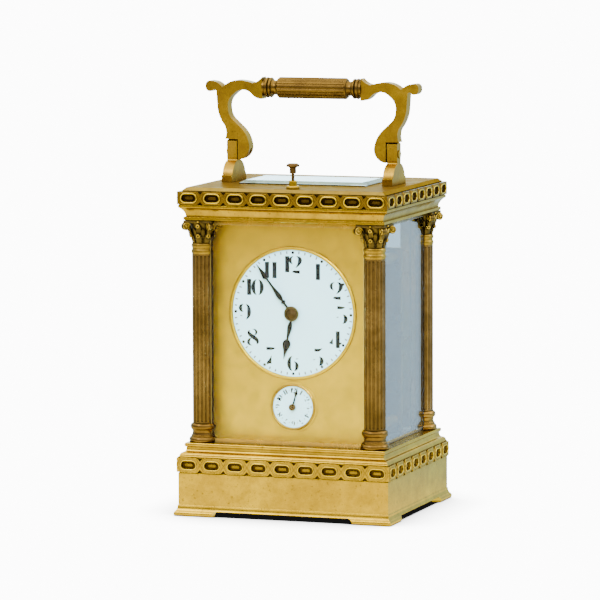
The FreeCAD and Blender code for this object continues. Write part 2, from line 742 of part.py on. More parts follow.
def make_handle_grip():
    """The reeded grip with a neck and two rings at each end."""
    path = [
        (4.0, -GRIP_HALF - 0.7), (GRIP_RADIUS, -GRIP_HALF), (GRIP_RADIUS, GRIP_HALF),
        (4.0, GRIP_HALF + 0.7),
    ]
    end = [
        (3.5, 15.7), ((3.1, 16.9), (3.4, 18.2)), (4.0, 18.4), ((4.35, 18.95), (4.0, 19.5)),
        (3.6, 19.7), (4.1, 19.9), ((4.45, 20.5), (4.1, 21.1)), (3.7, 21.3), (3.7, 22.3),
    ]
    drum = turned(path, 0, 0)
    cutters = []
    for index in range(GRIP_FLUTES):
        angle = 2 * math.pi * index / GRIP_FLUTES
        at = (4.95 * math.cos(angle), 4.95 * math.sin(angle))
        cutters.append(rod(0.62, (at[0], at[1], -GRIP_HALF - 2), (at[0], at[1], GRIP_HALF + 2)))
    drum = without(drum, cutters)
    right = turned(end, 0, 0)
    left = right.mirror(Vec(0, 0, 0), Z_WAY)
    grip = fused([drum, right, left])
    grip.rotate(Vec(0, 0, 0), Y_WAY, 90)
    grip.translate(Vec(0, 0, GRIP_Z))
    return grip


def make_handle_bracket(sign):
    """An upright bracket plate: a stepped foot, a shoulder, a neck and a post rounded about the pivot."""
    post_side = HANDLE_Z + math.sqrt(POST_ROUND ** 2 - POST_HALF ** 2)
    path = [
        (9.3, TOP_FACE), (9.3, 143.6), (8.2, 143.8), ((6.3, 147.4), (3.4, 149.3)),
        ((2.3, 149.9), (2.4, 150.7)), (POST_HALF, post_side),
    ]
    mirrored = [
        ((0, HANDLE_Z + POST_ROUND), (-POST_HALF, post_side)), (-2.4, 150.7),
        ((-2.3, 149.9), (-3.4, 149.3)), ((-6.3, 147.4), (-8.2, 143.8)), (-9.3, 143.6), (-9.3, TOP_FACE),
    ]
    plate = outline_face(path + mirrored, in_yz(BRACKET_IN)).extrude(X_WAY * (BRACKET_OUT - BRACKET_IN))
    plate = plate.cut(rod(PIN_RADIUS, (BRACKET_IN - 1, 0, HANDLE_Z), (BRACKET_OUT + 1, 0, HANDLE_Z)))
    return plate if sign > 0 else plate.mirror(Vec(0, 0, 0), X_WAY)


def make_handle_pins():
    """Two pivot pins, fixed in the brackets, with a low head outside."""
    pins = []
    for sign in (-1, 1):
        shank = rod(PIN_RADIUS, (sign * 29.4, 0, HANDLE_Z), (sign * BRACKET_OUT, 0, HANDLE_Z))
        head = rod(1.7, (sign * BRACKET_OUT, 0, HANDLE_Z), (sign * (BRACKET_OUT + 0.45), 0, HANDLE_Z))
        pins.append(shank.fuse(head))
    return Part.makeCompound(pins)


# ---------------------------------------------------------------- repeat button
def make_repeat_bush():
    """The flanged collar on the top plate that guides the repeat button."""
    path = [
        (2.85, TOP_FACE), (2.85, 141.5), (2.4, 142.0), (1.75, 142.1), (1.7, 143.9), (1.4, 144.2),
    ]
    bush = turned(path, BUTTON_X, BUTTON_Y)
    stem = rod(1.1, (BUTTON_X, BUTTON_Y, 137.5), (BUTTON_X, BUTTON_Y, TOP_FACE))
    return fused([bush, stem]).cut(rod(0.65 + PLAY, (BUTTON_X, BUTTON_Y, 137), (BUTTON_X, BUTTON_Y, 145)))


def make_repeat_button():
    """The push button on its thin stem, with a foot that reaches the repeat work."""
    path = [
        (1.1, 136.2), (1.1, 137.1), (0.65, 137.2), (0.65, 147.0), (1.4, 147.2), (1.4, 149.4),
        ((1.9, 149.9), (2.6, 150.0)), ((2.8, 150.5), (2.6, 151.0)), (1.9, 151.4),
    ]
    return turned(path, BUTTON_X, BUTTON_Y)


# ---------------------------------------------------------------- dial
def make_dial_mask():
    """The gilt mask behind the front glass, with a thin raised ring round each dial."""
    mask = box((-MASK_HALF, MASK_FRONT, PLATE_TOP), (MASK_HALF, MASK_FRONT + MASK_THICK, MASK_TOP))
    parts = [mask]
    tools = []
    for centre, radius in ((CENTRE, DIAL_RADIUS), (ALARM_CENTRE, ALARM_RADIUS)):
        parts.append(y_rod(centre, radius + 0.9, MASK_FRONT - 0.35, MASK_FRONT))
        tools.append(y_rod(centre, radius, MASK_FRONT - 1, MASK_FRONT + MASK_THICK + 1))
    return without(fused(parts), tools)


def enamel_disc(centre, radius, hole, rise):
    """A white disc with a flange behind the mask and a face that rises through its opening."""
    back = MASK_FRONT + MASK_THICK + 0.02
    flange = y_rod(centre, radius + 1.4, back, back + 1.1)
    face = y_rod(centre, radius - 0.05, back - rise, back)
    return fused([flange, face]).cut(y_rod(centre, hole, back - 3, back + 3))


def make_alarm_dial():
    """The small alarm dial."""
    return enamel_disc(ALARM_CENTRE, ALARM_RADIUS, 1.0, 0.85)


def blade(path_half, centre, angle, front, thick):
    """A flat hand from half an outline (half width, distance), pointing clockwise from twelve."""
    left = []
    for step in reversed(path_half):
        left.append((-step[0], step[1]))
    outline = [(centre[0] + a, centre[1] + b) for a, b in path_half + left]
    face = outline_face(outline, in_xz(front))
    hand = face.extrude(Y_WAY * thick)
    hand.rotate(Vec(centre[0], 0, centre[1]), Y_WAY, angle)
    return hand


def make_minute_hand():
    """The long blued hand: stem, small cross, leaf, thin neck and a barbed point."""
    half = [
        (0.45, 2.6), (0.42, 5.6), (1.05, 5.8), (1.05, 6.5), (0.42, 6.75), (0.95, 8.2), (1.1, 9.6),
        (0.7, 12.2), (0.42, 14.6), (0.38, 18.6), (1.35, 19.2), (1.05, 20.6), (0.42, 23.4),
        (0.05, MINUTE_LENGTH),
    ]
    hub = y_rod(CENTRE, 2.9, MINUTE_HAND_Y, MINUTE_HAND_Y + HAND_THICK)
    hand = blade(half, CENTRE, MINUTE_ANGLE, MINUTE_HAND_Y, HAND_THICK)
    return fused([hub, hand]).cut(y_rod(CENTRE, 0.8, -31, -25))


def make_hour_hand():
    """The short blued hand: a leaf, a thin neck and a pear that runs out in a long point."""
    half = [
        (0.5, 2.4), (0.45, 3.6), (0.95, 5.4), (1.0, 6.6), (0.6, 9.0), (0.4, 11.3),
        (1.15, 11.9), (1.65, 12.7), (1.75, 13.6), (1.35, 15.0), (0.75, 16.3), (0.42, 17.8),
        (0.05, HOUR_LENGTH),
    ]
    hub = y_rod(CENTRE, 2.7, HOUR_HAND_Y, HOUR_HAND_Y + HAND_THICK)
    hand = blade(half, CENTRE, HOUR_ANGLE, HOUR_HAND_Y, HAND_THICK)
    return fused([hub, hand]).cut(y_rod(CENTRE, 1.5, -31, -25))


def make_alarm_hand():
    """The small hand of the alarm dial, with a lozenge near its tip."""
    half = [
        (0.35, 1.0), (0.3, 3.6), (0.3, 5.2), (0.85, 6.1), (0.3, 7.0), (0.05, ALARM_LENGTH),
    ]
    hub = y_rod(ALARM_CENTRE, 1.35, ALARM_HAND_Y, ALARM_HAND_Y + HAND_THICK)
    hand = blade(half, ALARM_CENTRE, ALARM_ANGLE, ALARM_HAND_Y, HAND_THICK)
    return fused([hub, hand]).cut(y_rod(ALARM_CENTRE, 0.5, -31, -25))


# ---------------------------------------------------------------- movement frame
def pivot_holes(low, high):
    """Holes for every arbor that turns in a movement plate."""
    tools = []
    for centre in BACK_PIVOTS:
        wide = BARREL_PIVOT if centre in (GOING_BARREL, STRIKE_BARREL) else PIVOT_RADIUS
        wide = ARBOR_RADIUS if centre in (CENTRE, ALARM_CENTRE) else wide
        tools.append(y_rod(centre, wide + PLAY, low, high))
    return tools


def movement_plate(front):
    """One of the two brass plates that hold the trains."""
    plate = box((-MOVEMENT_HALF, front, MOVEMENT_LOW), (MOVEMENT_HALF, front + MOVEMENT_PLATE, MOVEMENT_HIGH))
    tools = pivot_holes(front - 1, front + 3)
    tools += [y_rod(at, 1.5, front - 1, front + 3) for at in PILLARS]
    return plate, tools


def plate_sill(front):
    """The foot of a movement plate, which stands on the base plate."""
    back = front + MOVEMENT_PLATE
    return box((-MOVEMENT_HALF, front, PLATE_TOP), (MOVEMENT_HALF, back, MOVEMENT_LOW))


def make_front_plate():
    """The front plate, with four feet that hold the mask and a stud for the minute wheel."""
    plate, tools = movement_plate(FRONT_PLATE_Y)
    back_of_mask = MASK_FRONT + MASK_THICK
    feet = [y_rod(at, 1.6, back_of_mask, FRONT_PLATE_Y) for at in MASK_FEET]
    stud = y_rod(MINUTE_WORK, PIVOT_RADIUS, FRONT_PLATE_Y - 4.2, FRONT_PLATE_Y)
    return without(fused([plate, stud, plate_sill(FRONT_PLATE_Y)] + feet), tools)


def make_back_plate():
    """The back plate, with a hole for each winding and setting square."""
    plate, tools = movement_plate(BACK_PLATE_Y)
    return without(fused([plate, plate_sill(BACK_PLATE_Y)]), tools)


def make_movement_pillars():
    """Four turned pillars between the plates."""
    low = FRONT_PLATE_Y
    high = BACK_PLATE_Y + MOVEMENT_PLATE
    pillars = []
    for at in PILLARS:
        body = [
            y_rod(at, 1.5, low, high),
            y_rod(at, 2.3, low + MOVEMENT_PLATE, high - MOVEMENT_PLATE),
            y_rod(at, 2.9, -2.6, -1.4),
            y_rod(at, 2.6, high, high + 1.0),
        ]
        pillars.append(fused(body))
    return Part.makeCompound(pillars)


def arbor(centre, front=FRONT_PLATE_Y, back=BACK_PLATE_Y + MOVEMENT_PLATE):
    """A plain arbor with a thinner pivot in each plate."""
    inner_front = FRONT_PLATE_Y + MOVEMENT_PLATE + FACE_GAP
    inner_back = BACK_PLATE_Y - FACE_GAP
    return [y_rod(centre, PIVOT_RADIUS, front, back), y_rod(centre, ARBOR_RADIUS, inner_front, inner_back)]


# ---------------------------------------------------------------- going train
def make_barrel(centre, partner):
    """A spring drum with a toothed rim at its back end."""
    gap = math.pi / BARREL_TEETH
    rim = toothed_disc(centre, BARREL_TEETH, BARREL_MODULE, direction(centre, partner) + gap, 0.6, 2.6)
    drum = y_rod(centre, BARREL_RADIUS, -14.0, 0.6)
    hollow = y_rod(centre, BARREL_RADIUS - 0.9, -13.0, 1.6)
    bore = y_rod(centre, BARREL_PIVOT + 1.0 + PLAY, -20, 5)
    body = fused([rim, drum]).cut(hollow)
    return body.cut(bore)


def make_barrel_arbor(centre):
    """A winding arbor: hub inside the drum, pivots in both plates and a square behind the back plate."""
    body = [
        y_rod(centre, BARREL_PIVOT, FRONT_PLATE_Y, BACK_PLATE_Y + 2.4),
        y_rod(centre, BARREL_PIVOT + 1.0, FRONT_PLATE_Y + MOVEMENT_PLATE + FACE_GAP, BACK_PLATE_Y - FACE_GAP),
        y_rod(centre, 6.4, 5.4, 6.6),
        y_square(centre, SQUARE_SIDE, BACK_PLATE_Y + 2.4, 27.0),
    ]
    return fused(body)


def geared_arbor(centre, pinion, wheel):
    """A pinion and a spoked wheel on one axis. Each is (teeth, module, angle of a tooth, low, high)."""
    teeth, module, first, low, high = pinion
    leaves = toothed_disc(centre, teeth, module, first, low, high, pinion=True)
    teeth, module, first, low, high = wheel
    disc = toothed_disc(centre, teeth, module, first, low, high)
    return [leaves, spoked(disc, centre, teeth * module / 2 - 2.4, 2.6, low, high)]


def make_intermediate_wheel():
    """The wheel between the going barrel and the centre pinion."""
    gap = math.pi / INTERMEDIATE_TEETH
    parts = geared_arbor(
        INTERMEDIATE,
        (INTERMEDIATE_PINION, BARREL_MODULE, direction(INTERMEDIATE, GOING_BARREL), 0.2, 3.2),
        (INTERMEDIATE_TEETH, CENTRE_MODULE, direction(INTERMEDIATE, CENTRE) + gap, 4.0, 5.0))
    return fused(parts + arbor(INTERMEDIATE))


def make_centre_arbor():
    """The centre arbor: pinion, wheel, cannon pinion in front, setting square behind and the front boss."""
    cannon_way = direction(CENTRE, MINUTE_WORK)
    parts = geared_arbor(
        CENTRE,
        (CENTRE_PINION, CENTRE_MODULE, direction(CENTRE, INTERMEDIATE), 3.6, 5.4),
        (CENTRE_TEETH, TRAIN_MODULE, direction(CENTRE, THIRD), 8.0, 9.0))
    parts.append(toothed_disc(CENTRE, CANNON_TEETH, MINUTE_MODULE, cannon_way, -22.2, -20.6, pinion=True))
    parts += [
        y_rod(CENTRE, ARBOR_RADIUS, -28.0, BACK_PLATE_Y + 2.6),
        y_rod(CENTRE, 0.8, -29.0, -28.0),
        y_rod(CENTRE, 3.2, BOSS_FRONT, MINUTE_HAND_Y),
        y_square(CENTRE, 1.9, BACK_PLATE_Y + 2.6, 25.0),
    ]
    return fused(parts)


def make_third_wheel():
    """The third wheel of the going train."""
    gap = math.pi / THIRD_PINION
    parts = geared_arbor(
        THIRD,
        (THIRD_PINION, TRAIN_MODULE, direction(THIRD, CENTRE) + gap, 7.4, 9.6),
        (THIRD_TEETH, TRAIN_MODULE, direction(THIRD, CONTRATE), 11.4, 12.4))
    return fused(parts + arbor(THIRD))


def make_contrate_wheel():
    """The crown wheel that turns the drive upright, with teeth that point to the back."""
    gap = math.pi / CONTRATE_PINION
    leaves = toothed_disc(
        CONTRATE, CONTRATE_PINION, TRAIN_MODULE, direction(CONTRATE, THIRD) + gap, 10.8, 13.0, pinion=True)
    rim = y_rod(CONTRATE, CONTRATE_RADIUS + 0.4, CONTRATE_FRONT, CONTRATE_BACK)
    rim = spoked(rim, CONTRATE, CONTRATE_RADIUS - 1.4, 2.4, CONTRATE_FRONT, CONTRATE_BACK)
    teeth = []
    pitch = 360.0 / CONTRATE_TEETH
    for index in range(CONTRATE_TEETH):
        foot = (-0.2, CONTRATE_BACK - 0.2, CONTRATE_RADIUS - 0.45)
        tooth = box(foot, (0.2, CONTRATE_TIP, CONTRATE_RADIUS + 0.4))
        tooth.rotate(Vec(0, 0, 0), Y_WAY, pitch * (index + 0.5))
        tooth.translate(Vec(CONTRATE[0], 0, CONTRATE[1]))
        teeth.append(tooth)
    return fused([leaves, rim] + teeth + arbor(CONTRATE))


def make_escape_wheel():
    """The upright escape arbor: leaves that meet the crown wheel and a toothed wheel on the platform."""
    low = CONTRATE[1] + CONTRATE_RADIUS - 1.1
    leaves = []
    for index in range(ESCAPE_PINION):
        leaf = box((-0.17, 0.5, low), (0.17, 1.4, PLATFORM_LOW - 0.6))
        leaf.rotate(Vec(0, 0, 0), Z_WAY, 180 + 360.0 * index / ESCAPE_PINION)
        leaves.append(leaf)
    core = rod(0.95, (0, 0, low), (0, 0, PLATFORM_LOW - 0.3))
    shaft = rod(0.5, (0, 0, low - 0.6), (0, 0, 119.0))
    height = 117.0
    points = []
    for index in range(ESCAPE_TEETH):
        start = 2 * math.pi * index / ESCAPE_TEETH
        points.append(Vec(2.9 * math.cos(start), 2.9 * math.sin(start), height))
        points.append(Vec(4.0 * math.cos(start + 0.1), 4.0 * math.sin(start + 0.1), height))
        points.append(Vec(4.0 * math.cos(start + 0.16), 4.0 * math.sin(start + 0.16), height))
        points.append(Vec(2.9 * math.cos(start + 0.24), 2.9 * math.sin(start + 0.24), height))
    wheel = Part.Face(Part.makePolygon(points + [points[0]])).extrude(Z_WAY * 0.6)
    whole = fused([core, shaft, wheel] + leaves)
    whole.translate(Vec(CONTRATE[0], ESCAPE_Y, 0))
    return whole


def make_hour_wheel():
    """The hour wheel and its pipe, which carries the hour hand."""
    gap = math.pi / HOUR_TEETH
    disc = toothed_disc(CENTRE, HOUR_TEETH, HOUR_MODULE, direction(CENTRE, MINUTE_WORK) + gap, -24.3, -23.4)
    pipe = y_rod(CENTRE, 1.5, HOUR_HAND_Y, -23.4)
    shoulder = y_rod(CENTRE, 2.2, HOUR_HAND_Y + HAND_THICK, -23.4)
    return fused([disc, pipe, shoulder]).cut(y_rod(CENTRE, ARBOR_RADIUS + PLAY, -30, -20))


def make_minute_wheel():
    """The motion-work wheel between the cannon pinion and the hour wheel."""
    gap = math.pi / MINUTE_TEETH
    way = direction(MINUTE_WORK, CENTRE)
    wheel = toothed_disc(MINUTE_WORK, MINUTE_TEETH, MINUTE_MODULE, way + gap, -22.0, -20.8)
    leaves = toothed_disc(MINUTE_WORK, MINUTE_PINION, HOUR_MODULE, way, -24.5, -22.0, pinion=True)
    hub = y_rod(MINUTE_WORK, 1.25, -24.5, -20.8)
    return fused([wheel, leaves, hub]).cut(y_rod(MINUTE_WORK, PIVOT_RADIUS + PLAY, -26, -19))


def make_alarm_arbor():
    """The alarm arbor from its hand to the setting square behind the back plate."""
    parts = [
        y_rod(ALARM_CENTRE, 0.9, ALARM_HAND_Y + HAND_THICK, FRONT_PLATE_Y - 0.6),
        y_rod(ALARM_CENTRE, 0.5, -28.2, -27.0),
        y_rod(ALARM_CENTRE, 1.35, -28.9, ALARM_HAND_Y),
        y_rod(ALARM_CENTRE, ARBOR_RADIUS, FRONT_PLATE_Y - 0.6, BACK_PLATE_Y + 2.6),
        y_square(ALARM_CENTRE, 1.9, BACK_PLATE_Y + 2.6, 24.0),
        y_rod(ALARM_CENTRE, 4.2, FRONT_PLATE_Y - 1.6, FRONT_PLATE_Y - 0.6),
    ]
    return fused(parts)


# ---------------------------------------------------------------- escapement platform
def make_platform():
    """The platform across the tops of the movement plates, with two uprights under it."""
    top = PLATFORM_LOW + PLATFORM_THICK
    sheet = box((-20.0, FRONT_PLATE_Y, PLATFORM_LOW), (26.0, BACK_PLATE_Y + MOVEMENT_PLATE, top))
    rails = []
    for front in (FRONT_PLATE_Y, BACK_PLATE_Y):
        rails.append(box((-20.0, front, MOVEMENT_HIGH), (26.0, front + MOVEMENT_PLATE, PLATFORM_LOW)))
    bridge = box((CONTRATE[0] - 6.5, ESCAPE_Y - 1.5, 118.4), (CONTRATE[0] + 1.6, ESCAPE_Y + 1.5, 119.4))
    post = box((CONTRATE[0] - 6.5, ESCAPE_Y - 1.5, top), (CONTRATE[0] - 4.6, ESCAPE_Y + 1.5, 118.4))
    escape_axis = (CONTRATE[0], ESCAPE_Y)
    tools = [
        rod(1.3, (escape_axis[0], escape_axis[1], 112), (escape_axis[0], escape_axis[1], 114.0)),
        rod(0.5 + PLAY, (escape_axis[0], escape_axis[1], 113), (escape_axis[0], escape_axis[1], 120)),
        rod(0.35 + PLAY, (BALANCE_AT[0], BALANCE_AT[1], 113.4), (BALANCE_AT[0], BALANCE_AT[1], 116)),
    ]
    return without(fused([sheet, bridge, post] + rails), tools)


def make_balance_wheel():
    """The balance: rim with rim screws, crossbar and staff."""
    at = Vec(BALANCE_AT[0], BALANCE_AT[1], 0)
    rim = Part.makeCylinder(BALANCE_RADIUS, 1.1, Vec(0, 0, BALANCE_Z))
    rim = rim.cut(Part.makeCylinder(BALANCE_RADIUS - 1.0, 1.1, Vec(0, 0, BALANCE_Z)))
    bar = Part.makeBox(2 * BALANCE_RADIUS - 1.0, 1.4, 0.7, Vec(-BALANCE_RADIUS + 0.5, -0.7, BALANCE_Z + 0.2))
    staff = Part.makeCylinder(0.35, 8.3, Vec(0, 0, PLATFORM_LOW + 0.7))
    hub = Part.makeCylinder(1.1, 1.6, Vec(0, 0, BALANCE_Z - 0.2))
    roller = Part.makeCylinder(1.3, 0.5, Vec(0, 0, 117.4))
    screws = []
    for index in range(12):
        angle = 2 * math.pi * (index + 0.5) / 12
        way = Vec(math.cos(angle), math.sin(angle), 0)
        start = way * (BALANCE_RADIUS - 0.1) + Z_WAY * (BALANCE_Z + 0.55)
        screws.append(Part.makeCylinder(0.45, 1.0, start, way))
    whole = fused([rim, bar, staff, hub, roller] + screws)
    whole.translate(at)
    return whole


def make_balance_cock():
    """The cock that carries the balance's upper pivot, on a foot at the platform's rear edge."""
    x, y = BALANCE_AT
    back = BACK_PLATE_Y + MOVEMENT_PLATE
    foot = box((x - 3.0, 16.2, PLATFORM_LOW + PLATFORM_THICK), (x + 3.0, back, 122.4))
    arm = box((x - 1.8, y, 121.3), (x + 1.8, 16.4, 122.4))
    table = Part.makeCylinder(2.6, 1.1, Vec(x, y, 121.3))
    return fused([foot, arm, table]).cut(rod(0.35 + PLAY, (x, y, 121), (x, y, 122.2)))


# ---------------------------------------------------------------- striking
def make_strike_wheel():
    """The pin wheel of the striking train, with its pins for the hammer."""
    gap = math.pi / INTERMEDIATE_PINION
    way = direction(STRIKE_PIN, STRIKE_BARREL)
    leaves = toothed_disc(STRIKE_PIN, INTERMEDIATE_PINION, BARREL_MODULE, way, 0.2, 3.2, pinion=True)
    disc = toothed_disc(STRIKE_PIN, INTERMEDIATE_TEETH, CENTRE_MODULE, gap, 4.0, 5.0)
    disc = spoked(disc, STRIKE_PIN, 8.0, 2.6, 4.0, 5.0)
    pins = []
    for index in range(STRIKE_PINS):
        at = polar(STRIKE_PIN, 9.2, 2 * math.pi * index / STRIKE_PINS)
        pins.append(y_rod(at, 0.4, 5.0, 6.6))
    return fused([leaves, disc] + pins + arbor(STRIKE_PIN))


def make_hammer():
    """The hammer: a hub on a stud, a leaning arm and a round head inside the gong's last turn."""
    low = BACK_PLATE_Y + MOVEMENT_PLATE + FACE_GAP
    high = low + 1.9
    hub = y_rod(HAMMER_AXIS, 2.0, low, high)
    head_at = (HAMMER_HEAD_X, GONG_Z)
    length = math.hypot(head_at[0] - HAMMER_AXIS[0], head_at[1] - HAMMER_AXIS[1])
    arm = box((-0.9, low, 0), (0.9, high, length))
    arm.rotate(Vec(0, 0, 0), Y_WAY, 90 - math.degrees(direction(HAMMER_AXIS, head_at)))
    arm.translate(Vec(HAMMER_AXIS[0], 0, HAMMER_AXIS[1]))
    middle = low + 3.5
    half = HAMMER_HEAD_LONG / 2
    head = rod(HAMMER_HEAD_RADIUS, (head_at[0] - half, middle, GONG_Z), (head_at[0] + half, middle, GONG_Z))
    return fused([hub, arm, head]).cut(y_rod(HAMMER_AXIS, PIVOT_RADIUS + PLAY, low - 1, high + 1))


def half_turn(radius, height, sign):
    """Half a ring of gong wire about (0, height), on the +X or the -X side."""
    low = GONG_Y - GONG_DEEP / 2
    high = GONG_Y + GONG_DEEP / 2
    ring = y_rod((0, height), radius, low, high).cut(y_rod((0, height), radius - GONG_WIRE, low, high))
    reach = GONG_RADIUS + 5
    ends = sorted((0, sign * reach))
    return ring.common(box((ends[0], low, height - reach), (ends[1], high, height + reach)))


def make_gong():
    """A coiled steel gong. Each half turn is tighter than the last by half the coil's pitch."""
    turns = []
    for index in range(GONG_HALF_TURNS):
        inward = index % 2
        radius = GONG_RADIUS - GONG_STEP / 2 * index
        turns.append(half_turn(radius, GONG_Z + inward * GONG_STEP / 2, -1 if inward else 1))
    return fused(turns)


def make_gong_block():
    """The brass block on the back plate that clamps the gong's outer end, and the hammer's headed stud."""
    low = BACK_PLATE_Y + MOVEMENT_PLATE
    foot = GONG_Z - GONG_RADIUS
    block = box((-1.0, low, foot - 1.4), (5.0, GONG_Y - GONG_DEEP / 2, foot + 1.8))
    stud = y_rod(HAMMER_AXIS, PIVOT_RADIUS, low, low + 3.2)
    head = y_rod(HAMMER_AXIS, 1.5, low + 2.5, low + 3.2)
    return Part.makeCompound([block, stud.fuse(head)])


# ---------------------------------------------------------------- rear door
def make_door_frame():
    """The rear door's frame with its hinge pins; the hinge stile is rounded about the pin axis."""
    back = DOOR_FRONT + DOOR_THICK
    radius = DOOR_THICK / 2
    frame = box((HINGE_X, DOOR_FRONT, DOOR_LOW), (DOOR_HALF, back, DOOR_HIGH))
    stile = rod(radius, (HINGE_X, HINGE_Y, DOOR_LOW), (HINGE_X, HINGE_Y, DOOR_HIGH))
    inner = DOOR_HALF - DOOR_RAIL
    low = DOOR_LOW + DOOR_RAIL
    high = DOOR_HIGH - DOOR_RAIL
    window = box((-inner + 1.0, DOOR_FRONT - 1, low), (inner, back + 1, high))
    rebate = box(
        (-inner, DOOR_FRONT + 0.6, low - 1.0), (inner + 1.0, DOOR_FRONT + 0.6 + GLASS_THICK, high + 1.0))
    pins = [
        rod(HINGE_PIN_RADIUS, (HINGE_X, HINGE_Y, 30.4), (HINGE_X, HINGE_Y, DOOR_LOW + 1)),
        rod(HINGE_PIN_RADIUS, (HINGE_X, HINGE_Y, DOOR_HIGH - 1), (HINGE_X, HINGE_Y, 127.3)),
    ]
    return without(fused([frame, stile] + pins), [window, rebate])


def make_door_glass():
    """The glass in the rear door."""
    inner = DOOR_HALF - DOOR_RAIL
    return box(
        (-inner + 0.05, DOOR_FRONT + 0.65, DOOR_LOW + DOOR_RAIL - 0.95),
        (inner + 0.95, DOOR_FRONT + 0.55 + GLASS_THICK, DOOR_HIGH - DOOR_RAIL + 0.95))


def make_door_knob():
    """The small turned knob on the door's free stile."""
    path = [(0.9, 0), (0.9, 1.2), (1.9, 1.6), ((2.2, 2.4), (1.7, 3.2)), (0.8, 3.5)]
    knob = turned(path, 0, 0)
    knob.rotate(Vec(0, 0, 0), X_WAY, -90)
    knob.translate(Vec(DOOR_HALF - 2.1, DOOR_FRONT + DOOR_THICK, 80.0))
    return knob


# ---------------------------------------------------------------- output
def build_nodes():
    """Every node's shape by name."""
    nodes = {
        "base_plinth": make_base_plinth(),
        "base_frieze": make_base_frieze(),
        "base_moulding": make_base_moulding(),
        "base_plate": make_base_plate(),
        "bottom_cover": make_bottom_cover(),
        "bottom_screws": make_bottom_screws(),
        "column_rods": make_column_rods(),
        "column_bases": Part.makeCompound(corners(make_column_base)),
        "column_capitals": Part.makeCompound(corners(make_column_capital)),
        "cornice_moulding": make_cornice_moulding(),
        "cornice_frieze": make_cornice_frieze(),
        "top_plate": make_top_plate(),
        "top_glass": make_top_glass(),
        "front_glass": make_front_glass(),
        "left_glass": make_side_glass(-1),
        "right_glass": make_side_glass(1),
        "rear_jambs": make_rear_jambs(),
        "handle_arm_left": make_handle_arm(-1),
        "handle_arm_right": make_handle_arm(1),
        "handle_grip": make_handle_grip(),
        "handle_bracket_left": make_handle_bracket(-1),
        "handle_bracket_right": make_handle_bracket(1),
        "handle_pins": make_handle_pins(),
        "repeat_bush": make_repeat_bush(),
        "repeat_button": make_repeat_button(),
        "dial_mask": make_dial_mask(),
        "main_dial": enamel_disc(CENTRE, DIAL_RADIUS, 2.5, 0.75),
        "alarm_dial": make_alarm_dial(),
        "minute_hand": make_minute_hand(),
        "hour_hand": make_hour_hand(),
        "alarm_hand": make_alarm_hand(),
        "movement_front_plate": make_front_plate(),
        "movement_back_plate": make_back_plate(),
        "movement_pillars": make_movement_pillars(),
        "going_barrel": make_barrel(GOING_BARREL, INTERMEDIATE),
        "going_arbor": make_barrel_arbor(GOING_BARREL),
        "strike_barrel": make_barrel(STRIKE_BARREL, STRIKE_PIN),
        "strike_arbor": make_barrel_arbor(STRIKE_BARREL),
        "intermediate_wheel": make_intermediate_wheel(),
        "centre_arbor": make_centre_arbor(),
        "third_wheel": make_third_wheel(),
        "contrate_wheel": make_contrate_wheel(),
        "escape_wheel": make_escape_wheel(),
        "hour_wheel": make_hour_wheel(),
        "minute_wheel": make_minute_wheel(),
        "alarm_arbor": make_alarm_arbor(),
        "strike_wheel": make_strike_wheel(),
        "platform": make_platform(),
        "balance_wheel": make_balance_wheel(),
        "balance_cock": make_balance_cock(),
        "hammer": make_hammer(),
        "gong": make_gong(),
        "gong_block": make_gong_block(),
        "door_frame": make_door_frame(),
        "door_glass": make_door_glass(),
        "door_knob": make_door_knob(),
    }
    places = {
        "front_left": (-1, -1), "front_right": (1, -1), "rear_left": (-1, 1), "rear_right": (1, 1),
    }
    for place, (sx, sy) in places.items():
        nodes["column_shaft_" + place] = make_column_shaft(sx, sy)
    return nodes


def main():
    """Writes one STEP file per node."""
    os.makedirs("parts", exist_ok=True)
    nodes = build_nodes()
    for name, shape in nodes.items():
        shape.exportStep("parts/" + name + ".step")
        print(name, len(shape.Solids), round(shape.Volume, 1), shape.isValid())
    print(len(nodes), "nodes")


main()
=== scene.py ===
import bpy
import json
import math
from mathutils import Matrix, Vector


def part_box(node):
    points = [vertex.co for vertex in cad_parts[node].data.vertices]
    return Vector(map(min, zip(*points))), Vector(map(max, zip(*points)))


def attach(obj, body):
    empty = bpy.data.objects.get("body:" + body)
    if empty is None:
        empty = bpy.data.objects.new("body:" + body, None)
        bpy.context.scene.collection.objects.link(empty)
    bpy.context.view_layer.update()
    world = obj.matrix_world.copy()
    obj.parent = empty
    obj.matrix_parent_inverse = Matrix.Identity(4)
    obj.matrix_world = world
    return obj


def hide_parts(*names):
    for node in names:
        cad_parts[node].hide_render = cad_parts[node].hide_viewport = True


# Looks of the carriage clock: node materials for every CAD node, and the fine pieces that the CAD
# leaves plain. Metres, in the CAD's frame. Outlines are written in millimetres and scaled by MM.

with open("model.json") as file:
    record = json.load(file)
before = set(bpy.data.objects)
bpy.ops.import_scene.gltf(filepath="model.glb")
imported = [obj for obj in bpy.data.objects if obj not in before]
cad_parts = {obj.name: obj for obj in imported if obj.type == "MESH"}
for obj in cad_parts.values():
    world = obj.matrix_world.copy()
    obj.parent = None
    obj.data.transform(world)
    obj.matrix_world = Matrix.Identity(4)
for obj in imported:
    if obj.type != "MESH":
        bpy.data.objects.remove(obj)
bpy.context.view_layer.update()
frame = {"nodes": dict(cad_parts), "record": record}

MM = 0.001
TURN = 2 * math.pi


# ---------------------------------------------------------------- places taken from the CAD
def middle(node):
    """The middle of a CAD node's box."""
    low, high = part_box(node)
    return (low + high) / 2


